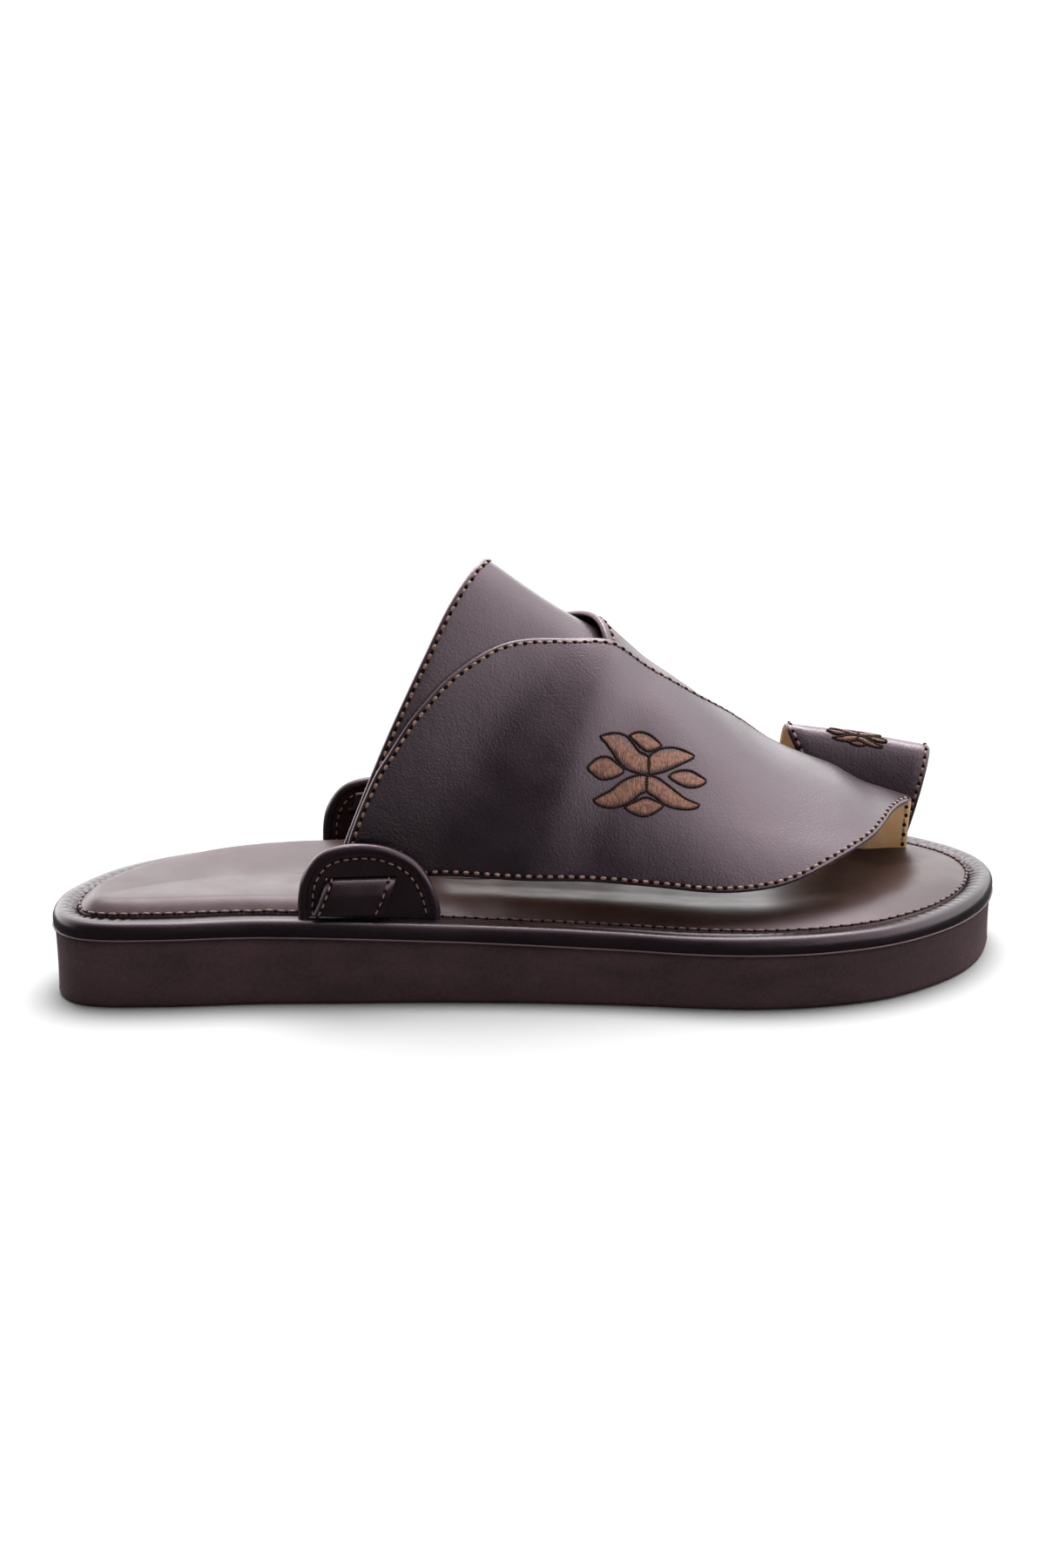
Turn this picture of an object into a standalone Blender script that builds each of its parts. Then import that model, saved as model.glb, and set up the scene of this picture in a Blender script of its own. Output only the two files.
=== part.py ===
"""An open sandal for the right foot, of a kind worn in Arabia.

A thick foam outsole carries a padded insole with a rolled leather rand round it.
The upper is an instep band with a wing on each side, lapped and sewn into one shell
that stands over the foot like a tent. Its ends pass through an ear on each side, its
front end through a slot between the first two toes, where a ring for the big toe
starts. +X points to the toe, +Y to the inner side of the foot, +Z up, in metres,
with the origin on the floor under the middle of the sandal.
"""

import bpy
import bmesh
import numpy as np
from mathutils.geometry import delaunay_2d_cdt

# Driving dimensions
SOLE_LENGTH = 0.290
SOLE_WIDTH = 0.109
HEEL_THICKNESS = 0.021
FORE_THICKNESS = 0.017
SOLE_EDGE_BEVEL = 0.0014
RAND_HEIGHT = 0.0058
RAND_WIDTH = 0.0068
RAND_PROUD = 0.0006
INSOLE_EDGE_HEIGHT = 0.0050
INSOLE_RISE = 0.0032
INSOLE_DISH = 0.0020
INSOLE_RIM_WIDTH = 0.013
INSOLE_DISH_WIDTH = 0.0286
INSOLE_SPINE_LENGTH = 0.197
HEEL_PAD_RISE = 0.0043
HEEL_PAD_RIM_WIDTH = 0.0065
HEEL_PAD_DISH = 0.0012
ARCH_RISE = 0.0014
EAR_SEAT = 0.0039
INSTEP_HEIGHT = 0.1001
LEATHER = 0.0021
LAP = 0.0019
RING_HEIGHT = 0.0420
RING_WALL = 0.0019
RING_BESIDE = 0.00534
EAR_LENGTH = 0.0420
EAR_HEIGHT = 0.0224
EAR_THICKNESS = 0.0030
SLOT_HEIGHT = 0.0050
SLOT_RISE = 0.0114
SLOT_SHIFT = 0.0021
SLOT_SPARE = 0.0016
TAIL_WIDTH = 0.0205
SEAT_DEPTH = 0.0025
CLEARANCE = 0.0003

# A rounded bevel's middle point, as a share of the bevel from either face
BEVEL_MIDDLE = 0.3

# Mesh fineness
STATIONS = 40
TENT_STEP = 0.24
RING_STEP = 0.33
ROUND_WEIGHT = 2.6

# Sole outline, clockwise from the back of the heel along the outer side, as shares of
# the sole's length and width, both measured from the middle
OUTLINE = [
    # along, across
    (-0.500, -0.165),
    (-0.488, -0.270),
    (-0.455, -0.322),
    (-0.390, -0.338),
    (-0.300, -0.338),
    (-0.180, -0.360),
    (-0.060, -0.384),
    (0.065, -0.428),
    (0.160, -0.480),
    (0.225, -0.500),
    (0.290, -0.490),
    (0.360, -0.438),
    (0.425, -0.330),
    (0.470, -0.195),
    (0.495, -0.050),
    (0.500, 0.060),
    (0.490, 0.170),
    (0.462, 0.275),
    (0.415, 0.375),
    (0.350, 0.452),
    (0.270, 0.493),
    (0.190, 0.500),
    (0.090, 0.462),
    (-0.020, 0.395),
    (-0.140, 0.340),
    (-0.260, 0.312),
    (-0.360, 0.255),
    (-0.440, 0.140),
    (-0.487, -0.020),
]

# Where the foam thins from heel to forefoot, as shares of the sole's length
HEEL_END = -0.33
FORE_START = 0.18

# Where the heel's padding fades out forward, where the arch's rises from behind, and where
# across the sole the arch rises to the inner side, as shares of length and width
HEEL_PAD_FADE = (-0.20, -0.05)
ARCH_START = (-0.45, -0.28)
ARCH_ACROSS = (0.00, 0.22)

# Section of the rolled rand, as shares of its half width and of its height
RAND_SECTION = [
    # across, up
    (-0.86, 0.00), (-1.00, 0.22), (-1.00, 0.55), (-0.80, 0.85), (-0.35, 1.00),
    (0.25, 0.99), (0.72, 0.84), (1.00, 0.70), (1.00, 0.00),
]

# Rings of the insole's upper face, as shares of the way from its seam to its middle line
INSOLE_RINGS = (0.0, 0.05, 0.12, 0.22, 0.38, 0.62, 0.88)

# The slot in the insole between the first two toes, as shares of length and width
TOE_SLOT_REAR = (0.345, 0.188)
TOE_SLOT_FRONT = (0.419, 0.150)
TOE_SLOT_SPARE = 0.0014

# Sections of the tent that the upper is cut on, from the band's rear edge to the front
# tip. Each has a ridge and a foot on either side. Along and across are shares of the
# sole's length and width, up is a share of the instep height over the insole's seam, crest is
# how far the top stays level on its way to a foot, and the bulges are how far a flank
# stands out over its foot, as shares of the width.
SECTIONS = [
    # ridge along, across, up; outer foot along, across; inner foot along, across;
    # crest; outer bulge; inner bulge
    (-0.0500, 0.009, 1.000, -0.241, -0.240, -0.214, 0.222, 0.46, 0.004, 0.004),
    (0.0172, 0.023, 0.864, -0.141, -0.243, -0.114, 0.230, 0.46, 0.006, 0.006),
    (0.0862, 0.041, 0.748, -0.034, -0.316, -0.028, 0.324, 0.48, 0.022, 0.022),
    (0.1655, 0.060, 0.589, 0.083, -0.371, 0.076, 0.376, 0.50, 0.027, 0.027),
    (0.2483, 0.083, 0.400, 0.200, -0.390, 0.196, 0.340, 0.52, 0.027, 0.020),
    (0.3345, 0.105, 0.286, 0.317, -0.349, *TOE_SLOT_REAR, 0.52, 0.018, 0.000),
    (0.4207, 0.119, 0.192, 0.421, -0.239, *TOE_SLOT_FRONT, 0.50, 0.000, 0.000),
]
FLANK_LIFT = 0.45

# Cut edges of the leather pieces on that tent. "run" counts sections from the rear
# edge, "round" goes from -1 at the outer foot over 0 at the ridge to 1 at the inner.
BAND_REAR = [
    # round, run
    (-0.93, 0.09), (-0.84, -0.02), (-0.68, -0.13), (-0.57, -0.18), (-0.44, -0.21),
    (-0.30, -0.22), (-0.15, -0.15), (0.00, -0.04), (0.15, 0.02), (0.30, 0.03),
    (0.44, 0.04), (0.57, 0.06), (0.68, 0.08), (0.84, 0.13), (0.93, 0.19),
]
BAND_FRONT = [
    # round, run
    (0.93, 0.84), (0.70, 1.06), (0.40, 1.45), (0.10, 1.80), (-0.10, 1.80),
    (-0.40, 1.45), (-0.70, 1.06), (-0.93, 0.84),
]
OUTER_TOP = [
    # run, round: the outer wing's stitched rear and top edge, over the ridge to the slot
    (0.15, -0.915), (0.00, -0.833), (-0.08, -0.712), (-0.06, -0.648), (-0.03, -0.587),
    (0.02, -0.543), (0.12, -0.477), (0.26, -0.418), (0.43, -0.359), (0.63, -0.307),
    (0.88, -0.260), (1.14, -0.220), (1.42, -0.181), (1.72, -0.146), (2.04, -0.124),
    (2.38, -0.112), (2.71, -0.101), (3.06, -0.080), (3.45, -0.010), (3.85, 0.100),
    (4.30, 0.190), (4.70, 0.260), (4.95, 0.440), (5.03, 0.700), (5.06, 1.000),
]
OUTER_LOW = [
    # run, round: from the slot up the front tip and back along the free lower edge
    (6.00, 1.000), (6.00, 0.60), (6.00, 0.25), (5.99, 0.06), (5.88, -0.078),
    (5.74, -0.150), (5.58, -0.245), (5.31, -0.420), (5.06, -0.526), (4.80, -0.615),
    (4.58, -0.686), (4.37, -0.743), (4.17, -0.779), (3.86, -0.808), (3.56, -0.819),
    (3.08, -0.822), (2.59, -0.834), (2.11, -0.857), (1.64, -0.878), (1.16, -0.897),
    (0.80, -0.912),
]
INNER_TOP = [
    # run, round: the inner wing's rolled rear edge, from its ear up over the ridge
    (0.24, 0.915), (0.17, 0.83), (0.13, 0.70), (0.18, 0.55), (0.33, 0.43),
    (0.64, 0.32), (1.08, 0.215), (1.42, 0.10), (1.60, 0.00), (1.79, -0.13),
    (2.00, -0.24),
]
INNER_LOW = [
    # run, round: front end tucked under the outer wing, then the free lower edge
    (3.00, -0.25), (4.00, -0.16), (4.70, -0.05), (4.80, 0.06), (4.55, 0.14),
    (4.15, 0.23), (3.85, 0.36), (3.65, 0.52), (3.40, 0.67), (2.90, 0.79),
    (2.17, 0.850), (1.69, 0.876), (1.18, 0.897), (0.80, 0.912),
]

# Where a wing that lies over another layer comes back down to the tent, in runs: past
# the band's front edge, and past the inner wing's front end. It starts to climb the
# inner wing a little before that wing's rear edge, and only near the ridge.
BAND_STEP = (1.85, 2.50)
WING_STEP = (4.80, 5.40)
WING_CLIMB = (1.20, 1.90)
WING_CLIMB_ROUND = (-0.52, -0.22)
# Inner faces of the two wings, as shares of the leather over the tent: apart from the
# band's and from each other, so that the lapped layers join cleanly
INNER_WING_SHARE = 0.30
OUTER_WING_SHARE = 0.15

# Ring for the big toe, from its rear edge to its front edge. The columns are those of
# the sections, but "up" is a share of the ring's height over the insole, and the outer
# foot is a share of the way along the toe slot.
RING_SECTIONS = [
    # ridge along, across, up; way along the slot; inner foot along, across; crest;
    # outer bulge; inner bulge
    (0.2880, 0.258, 0.955, 0.12, 0.290, 0.375, 0.56, 0.010, 0.050),
    (0.3700, 0.256, 0.867, 0.545, 0.346, 0.3335, 0.56, 0.020, 0.060),
    (0.4470, 0.236, 0.771, 0.97, 0.402, 0.292, 0.56, 0.030, 0.070),
]
RING_LIFT = 0.62

# Ears: where each stands, as shares of the sole's length and width
OUTER_EAR = (-0.1780, -0.317)
INNER_EAR = (-0.1490, 0.296)
EARS = [
    # name, place, side
    ("ear_outer", OUTER_EAR, -1),
    ("ear_inner", INNER_EAR, 1),
]
# An ear's outline, as shares of half its length and of its height
EAR_OUTLINE = [
    # along, up
    (-1.00, 0.00), (-0.985, 0.40), (-0.90, 0.66), (-0.70, 0.88), (-0.40, 0.98),
    (0.00, 1.00), (0.35, 0.93), (0.68, 0.76), (0.90, 0.48), (1.00, 0.18), (1.00, 0.00),
]
# The tail of the upper through an ear's slot: how far out it lies, in ear thicknesses
# from the ear's middle, how high, as a share of the ear's height, and how far it has
# slanted back, as a share of the tail's width
TAIL_PATH = [
    # out, up, back
    (-1.45, 0.82, 0.00), (-1.22, 0.66, 0.03), (-0.80, 0.55, 0.06), (0.00, 0.512, 0.09),
    (0.62, 0.476, 0.12), (1.02, 0.35, 0.18), (1.08, 0.19, 0.25), (1.08, 0.065, 0.32),
]


def spline(table, where):
    """Rows of a table at real-valued row numbers, on a smooth curve through the rows."""
    rows = np.asarray(table, float)
    where = np.atleast_1d(np.asarray(where, float))
    ends = np.vstack([2 * rows[0] - rows[1], rows, 2 * rows[-1] - rows[-2]])
    k = np.clip(np.floor(where).astype(int), 0, len(rows) - 2)
    f = (where - k)[:, None]
    a, b, c, d = ends[k], ends[k + 1], ends[k + 2], ends[k + 3]
    bend = (2 * a - 5 * b + 4 * c - d) * f ** 2 + (3 * b - a - 3 * c + d) * f ** 3
    return 0.5 * (2 * b + (c - a) * f + bend)


def closed_spline(table, per_row):
    """A closed smooth curve through the rows of a table."""
    rows = np.asarray(table, float)
    ring = np.vstack([rows[-2:], rows, rows[:3]])
    where = 2 + np.arange(len(rows) * per_row) / per_row
    return spline(ring, where)


def smooth(x, start, end):
    """0 before start, 1 after end, and an easy climb between."""
    t = np.clip((x - start) / (end - start), 0.0, 1.0)
    return t * t * (3 - 2 * t)


def sole_edges():
    """Sole outline as stations from heel to toe with an outer and an inner edge."""
    curve = closed_spline(OUTLINE, 16) * (SOLE_LENGTH, SOLE_WIDTH)
    back, front = curve[:, 0].argmin(), curve[:, 0].argmax()
    outer = curve[back:front + 1]
    inner = np.vstack([curve[front:], curve[:back + 1]])[::-1]
    turn = np.linspace(0, np.pi, STATIONS + 1)
    middle = 0.5 * (outer[0, 0] + outer[-1, 0])
    half = 0.5 * (outer[-1, 0] - outer[0, 0])
    x = middle - half * np.cos(turn)
    order_out, order_in = np.argsort(outer[:, 0]), np.argsort(inner[:, 0])
    y_out = np.interp(x, outer[order_out, 0], outer[order_out, 1])
    y_in = np.interp(x, inner[order_in, 0], inner[order_in, 1])
    y_out[0] = y_in[0] = outer[0, 1]
    y_out[-1] = y_in[-1] = outer[-1, 1]
    return x, y_out, y_in


EDGE_X, EDGE_OUT, EDGE_IN = sole_edges()
LOOP = np.vstack([
    np.column_stack([EDGE_X, EDGE_OUT]),
    np.column_stack([EDGE_X, EDGE_IN])[-2:0:-1],
])


def loop_normals():
    """Unit vectors that point out of the sole's outline."""
    along = np.roll(LOOP, -1, axis=0) - np.roll(LOOP, 1, axis=0)
    out = np.column_stack([along[:, 1], -along[:, 0]])
    return out / np.linalg.norm(out, axis=1)[:, None]


NORMALS = loop_normals()


def foam_top(x):
    """Height of the foam's upper face."""
    share = smooth(np.asarray(x) / SOLE_LENGTH, HEEL_END, FORE_START)
    return HEEL_THICKNESS + (FORE_THICKNESS - HEEL_THICKNESS) * share


def padding(inside, rise, rim_width, dish):
    """Height of padding over its edge: a soft rim, then a shallow dish."""
    rim = rise * np.sin(0.5 * np.pi * np.clip(inside / rim_width, 0, 1))
    return rim - dish * smooth(inside, rim_width, INSOLE_DISH_WIDTH)


def insole_top(x, y, padded=1.0):
    """Height of the insole: a thick pad with a steep rim at the heel, flatter ahead."""
    x, y = np.broadcast_arrays(np.asarray(x, float), np.asarray(y, float))
    spots = np.stack([x, y], axis=-1)[..., None, :]
    reach = np.linalg.norm(spots - LOOP, axis=-1).min(axis=-1)
    inside = np.clip(reach - RAND_WIDTH, 0.0, None)
    along = x / SOLE_LENGTH
    fore = padding(inside, INSOLE_RISE, INSOLE_RIM_WIDTH, INSOLE_DISH)
    heel = padding(inside, HEEL_PAD_RISE, HEEL_PAD_RIM_WIDTH, HEEL_PAD_DISH)
    heel_share = padded * (1 - smooth(along, *HEEL_PAD_FADE))
    arch_share = smooth(along, *ARCH_START) * smooth(y / SOLE_WIDTH, *ARCH_ACROSS)
    arch = ARCH_RISE * arch_share * heel_share * smooth(inside, 0.0, HEEL_PAD_RIM_WIDTH)
    return foam_top(x) + INSOLE_EDGE_HEIGHT + fore + (heel - fore) * heel_share + arch


def section_table(rows, height, feet_up):
    """Sections as real sizes: ridge, outer foot, inner foot, crest and bulges."""
    table = []
    for row in rows:
        (ridge_x, ridge_y, up, out_x, out_y, in_x, in_y, crest, out_bulge, in_bulge) = row
        ridge = (ridge_x * SOLE_LENGTH, ridge_y * SOLE_WIDTH)
        outer = (out_x * SOLE_LENGTH, out_y * SOLE_WIDTH)
        inner = (in_x * SOLE_LENGTH, in_y * SOLE_WIDTH)
        table.append([
            *ridge, float(foam_top(ridge[0])) + INSOLE_EDGE_HEIGHT + up * height,
            *outer, float(insole_top(*outer, 0.0)) + feet_up,
            *inner, float(insole_top(*inner, 0.0)) + feet_up,
            crest, -out_bulge * SOLE_WIDTH, in_bulge * SOLE_WIDTH,
        ])
    return np.array(table)


def ring_rows():
    """The ring's sections, with the outer foot set beside the upper's in the toe slot."""
    start, end = np.array(TOE_SLOT_REAR), np.array(TOE_SLOT_FRONT)
    beside = RING_BESIDE / SOLE_WIDTH
    rows = []
    for ridge_x, ridge_y, up, way, *rest in RING_SECTIONS:
        foot = start + (end - start) * way
        rows.append((ridge_x, ridge_y, up, foot[0], foot[1] + beside, *rest))
    return rows


TENT = section_table(SECTIONS, INSTEP_HEIGHT, -SEAT_DEPTH)
RING = section_table(ring_rows(), RING_HEIGHT, -SEAT_DEPTH)


def arch(table, lift, run, around):
    """Points of an arched sheet, each half of a section a curve from ridge to foot."""
    run = np.atleast_1d(np.asarray(run, float))
    around = np.atleast_1d(np.asarray(around, float))
    row = spline(table, run)
    outer = (around < 0)[:, None]
    ridge, crest = row[:, 0:3], row[:, 9]
    foot = np.where(outer, row[:, 3:6], row[:, 6:9])
    bulge = np.where(outer[:, 0], row[:, 10], row[:, 11])
    t = np.abs(around)[:, None]
    shoulder = ridge.copy()
    shoulder[:, 1] += crest * (foot[:, 1] - ridge[:, 1])
    flank = foot + lift * (ridge - foot) * (1, 0, 1)
    flank[:, 1] += bulge
    s = 1 - t
    return s ** 3 * ridge + 3 * s * s * t * shoulder + 3 * s * t * t * flank + t ** 3 * foot


def arch_offset(table, lift, run, around, out):
    """Points of an arched sheet moved out along its normals."""
    step = 1e-3
    run, around = np.asarray(run, float), np.asarray(around, float)
    by_run = arch(table, lift, run + step, around) - arch(table, lift, run - step, around)
    by_round = arch(table, lift, run, around + step) - arch(table, lift, run, around - step)
    normal = np.cross(by_run, by_round)
    normal /= np.linalg.norm(normal, axis=1)[:, None]
    return arch(table, lift, run, around) + normal * np.asarray(out).reshape(-1, 1)


def tent(run, around, out):
    """Points of the upper's tent, moved out from its inner face by a distance."""
    return arch_offset(TENT, FLANK_LIFT, run, around, out)


def add_object(name, mesh, color, roughness):
    """An object with a mesh and a plain material of its own."""
    obj = bpy.data.objects.new(name, mesh)
    bpy.context.collection.objects.link(obj)
    material = bpy.data.materials.new(name)
    material.use_nodes = True
    shader = material.node_tree.nodes["Principled BSDF"]
    shader.inputs["Base Color"].default_value = (*color, 1.0)
    shader.inputs["Roughness"].default_value = roughness
    shader.inputs["Metallic"].default_value = 0.0
    mesh.materials.append(material)
    return obj


def finished_mesh(name, points, faces):
    """A mesh with its loose points removed and its faces pointing out."""
    mesh = bpy.data.meshes.new(name)
    mesh.from_pydata([tuple(p) for p in points], [], faces)
    shape = bmesh.new()
    shape.from_mesh(mesh)
    bmesh.ops.triangulate(shape, faces=shape.faces)
    bmesh.ops.recalc_face_normals(shape, faces=shape.faces)
    shape.to_mesh(mesh)
    shape.free()
    return mesh


def stacked_loops(name, loops, ring):
    """A solid skinned over closed loops, joined to a ring or closed at both ends."""
    count, levels = len(loops[0]), len(loops)
    faces = []
    for level in range(levels if ring else levels - 1):
        low, high = level * count, (level + 1) % levels * count
        for i in range(count):
            j = (i + 1) % count
            faces.append((low + i, low + j, high + j, high + i))
    if not ring:
        faces += ladder(0, count) + ladder((levels - 1) * count, count)
    return finished_mesh(name, np.vstack(loops), faces)


def ladder(first, count):
    """Faces across a loop of the sole, between points at the same station."""
    rungs = [(first + i, first + (count - i) % count) for i in range(count // 2 + 1)]
    faces = []
    for (a, b), (c, d) in zip(rungs, rungs[1:]):
        corners = [a, c] if c == d else [a, c, d]
        faces.append(tuple(corners + ([] if a == b else [b])))
    return faces


def loop_at(inset, height):
    """The sole's outline moved in by an inset, at a height for each point."""
    flat = LOOP - NORMALS * inset
    return np.column_stack([flat, np.broadcast_to(height, len(flat))])


def make_outsole():
    """Thick foam sole: flat below, straight sides, thinner from heel to forefoot."""
    top = foam_top(LOOP[:, 0])
    loops = [
        loop_at(SOLE_EDGE_BEVEL, 0.0),
        loop_at(BEVEL_MIDDLE * SOLE_EDGE_BEVEL, BEVEL_MIDDLE * SOLE_EDGE_BEVEL),
        loop_at(0.0, SOLE_EDGE_BEVEL),
        loop_at(0.0, top),
    ]
    mesh = stacked_loops("outsole", loops, False)
    return add_object("outsole", mesh, (0.055, 0.018, 0.020), 0.9)


def make_rand():
    """Rolled leather binding that runs round the insole and stands a little proud."""
    base = foam_top(LOOP[:, 0]) + CLEARANCE
    half = 0.5 * (RAND_WIDTH + RAND_PROUD)
    rise = RAND_HEIGHT - CLEARANCE
    loops = [
        loop_at(half - RAND_PROUD + across * half, base + up * rise)
        for across, up in RAND_SECTION
    ]
    mesh = stacked_loops("rand", loops, True)
    return add_object("rand", mesh, (0.040, 0.014, 0.013), 0.35)


def make_insole():
    """Padded insole inside the rand, with a soft rim and a shallow dish."""
    edge = loop_at(RAND_WIDTH + CLEARANCE, 0.0)[:, :2]
    spine_x = np.clip(edge[:, 0], -0.5 * INSOLE_SPINE_LENGTH, 0.5 * INSOLE_SPINE_LENGTH)
    middle = 0.5 * (EDGE_OUT + EDGE_IN)
    spine = np.column_stack([spine_x, np.interp(spine_x, EDGE_X, middle)])
    loops = [np.column_stack([edge, foam_top(edge[:, 0]) + CLEARANCE])]
    for share in INSOLE_RINGS:
        flat = edge + (spine - edge) * share
        loops.append(np.column_stack([flat, insole_top(flat[:, 0], flat[:, 1])]))
    mesh = stacked_loops("insole", loops, False)
    return add_object("insole", mesh, (0.050, 0.019, 0.017), 0.30)


def piece_outline(curves, step):
    """One closed outline in the tent's run and round, from curves joined at their ends."""
    points = []
    for curve, following in zip(curves, curves[1:] + curves[:1]):
        rows = np.asarray(curve, float)
        for k in range(len(rows) - 1):
            parts = part_count(rows[k], rows[k + 1], step)
            points += list(spline(rows, k + np.arange(parts) / parts))
        start, end = rows[-1], np.array(following[0])
        parts = part_count(start, end, step)
        points += [start + (end - start) * part / parts for part in range(parts)]
    return np.array(points)


def part_count(start, end, step):
    """Into how many parts a stretch of an outline is divided."""
    span = np.linalg.norm((np.subtract(end, start)) * (1.0, ROUND_WEIGHT))
    return max(1, int(np.ceil(span / step)))


def sheet_solid(name, outline, step, surface, inner, outer):
    """A leather piece cut to an outline and given its wall between two offsets."""
    run_step, round_step = step, step / ROUND_WEIGHT
    low, high = outline.min(axis=0), outline.max(axis=0)
    inside = []
    for run in np.arange(low[0] + run_step / 2, high[0], run_step):
        for around in np.arange(low[1] + round_step / 2, high[1], round_step):
            spot = np.array([run, around])
            reach = np.linalg.norm((outline - spot) * (1.0, ROUND_WEIGHT), axis=1).min()
            if reach > 0.55 * step and within(outline, spot):
                inside.append((run, around))
    count = len(outline)
    spots = [tuple(p) for p in outline] + inside
    edges = [(i, (i + 1) % count) for i in range(count)]
    cut = delaunay_2d_cdt(spots, edges, [], 0, 1e-6, False)
    flat = np.array([tuple(p) for p in cut[0]])
    tris = [tuple(face) for face in cut[2]]
    tris = [face for face in tris if within(outline, flat[list(face)].mean(axis=0))]
    run, around = flat[:, 0], flat[:, 1]
    below = surface(run, around, inner(run, around))
    above = surface(run, around, outer(run, around))
    shift = len(flat)
    faces = [tuple(reversed(t)) for t in tris]
    faces += [tuple(i + shift for i in t) for t in tris]
    rim = {}
    for a, b, c in tris:
        for pair in ((a, b), (b, c), (c, a)):
            rim[pair] = rim.get(pair, 0) + 1
    for a, b in rim:
        if (b, a) not in rim:
            faces.append((a, b, b + shift, a + shift))
    return finished_mesh(name, np.vstack([below, above]), faces)


def within(outline, spot):
    """Whether a spot lies inside a closed outline."""
    ahead = np.roll(outline, -1, axis=0)
    crosses = (outline[:, 1] > spot[1]) != (ahead[:, 1] > spot[1])
    rise = np.where(crosses, ahead[:, 1] - outline[:, 1], 1.0)
    at = outline[:, 0] + (spot[1] - outline[:, 1]) / rise * (ahead[:, 0] - outline[:, 0])
    return np.count_nonzero(crosses & (at > spot[0])) % 2 == 1


def over_band(run):
    """How far a layer is lifted by the band under it, from 1 to 0 past its front edge."""
    return 1 - smooth(run, *BAND_STEP)


def inner_wing_outer(run, around):
    """Outer face of the inner wing."""
    return LEATHER + LAP * over_band(run)


def outer_wing_outer(run, around):
    """Outer face of the outer wing, over the band, then over the inner wing's front."""
    over_inner = smooth(around, *WING_CLIMB_ROUND) * smooth(run, *WING_CLIMB)
    over_inner *= 1 - smooth(run, *WING_STEP)
    return LEATHER + LAP * np.maximum(over_band(run), over_inner)


def steady(value):
    """A layer face that keeps one distance from the tent."""
    return lambda run, around: np.full(np.shape(run), value)


def ear_place(place, side):
    """Middle of an ear's foot on the insole's edge."""
    x, y = place[0] * SOLE_LENGTH, place[1] * SOLE_WIDTH
    return x, y, float(foam_top(x)) + EAR_SEAT


def tail_solid(name, place, side):
    """The end of the upper that passes out through an ear's slot and hangs down."""
    x, y, z = ear_place(place, side)
    path = spline(TAIL_PATH, np.linspace(0, len(TAIL_PATH) - 1, 13))
    out = y + side * path[:, 0] * EAR_THICKNESS
    up = z + SEAT_DEPTH + path[:, 1] * EAR_HEIGHT
    back = x - path[:, 2] * TAIL_WIDTH
    across = np.gradient(np.column_stack([out, up]), axis=0)
    across /= np.linalg.norm(across, axis=1)[:, None]
    lift = 0.5 * LEATHER * np.column_stack([-across[:, 1], across[:, 0]])
    rows = []
    for width in (-0.5, 0.5):
        for face in (-1, 1):
            rows.append(np.column_stack([
                back + width * TAIL_WIDTH,
                out + face * lift[:, 0],
                up + face * lift[:, 1],
            ]))
    near_in, near_out, far_in, far_out = range(4)
    points = np.stack(rows, axis=1).reshape(-1, 3)
    ring = (near_in, near_out, far_out, far_in)
    faces = [ring, tuple(4 * (len(path) - 1) + i for i in reversed(ring))]
    for k in range(len(path) - 1):
        for a, b in zip(ring, ring[1:] + ring[:1]):
            faces.append((4 * k + a, 4 * k + b, 4 * (k + 1) + b, 4 * (k + 1) + a))
    return finished_mesh(name, points, faces)


def helper(name, mesh):
    """An object that only shapes others, left out of the finished model."""
    obj = bpy.data.objects.new(name, mesh)
    bpy.context.collection.objects.link(obj)
    obj.hide_render = True
    obj.display_type = "WIRE"
    return obj


def boolean(obj, other, operation):
    """A live Boolean between an object and a helper."""
    modifier = obj.modifiers.new(operation.title(), "BOOLEAN")
    modifier.object = other
    modifier.operation = operation
    modifier.solver = "EXACT"


def make_upper():
    """Band and wings lapped into one shell, with a tail at each ear."""
    rear = [(run, around) for around, run in BAND_REAR]
    front = [(run, around) for around, run in BAND_FRONT]
    band = sheet_solid("upper", piece_outline([rear, front], TENT_STEP), TENT_STEP,
                       tent, steady(0.0), steady(LEATHER))
    upper = add_object("upper", band, (0.045, 0.018, 0.020), 0.38)
    outline = piece_outline([INNER_TOP, INNER_LOW], TENT_STEP)
    inner_wing = sheet_solid("inner_wing", outline, TENT_STEP,
                             tent, steady(INNER_WING_SHARE * LEATHER), inner_wing_outer)
    outline = piece_outline([OUTER_TOP, OUTER_LOW], TENT_STEP)
    outer_wing = sheet_solid("outer_wing", outline, TENT_STEP,
                             tent, steady(OUTER_WING_SHARE * LEATHER), outer_wing_outer)
    layers = [
        helper("inner_wing", inner_wing),
        helper("outer_wing", outer_wing),
        helper("outer_tail", tail_solid("outer_tail", OUTER_EAR, -1)),
        helper("inner_tail", tail_solid("inner_tail", INNER_EAR, 1)),
    ]
    for layer in layers:
        boolean(upper, layer, "UNION")
    return upper


def make_toe_ring():
    """Leather loop for the big toe, its ends in slots in the insole."""
    curves = [
        [(0.0, around) for around in np.linspace(-1, 1, 15)],
        [(2.0, around) for around in np.linspace(1, -1, 15)],
    ]

    def surface(run, around, out):
        return arch_offset(RING, RING_LIFT, run, around, out)

    outline = piece_outline(curves, RING_STEP)
    mesh = sheet_solid("toe_ring", outline, RING_STEP, surface, steady(0.0), steady(RING_WALL))
    return add_object("toe_ring", mesh, (0.045, 0.018, 0.020), 0.38)


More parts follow.
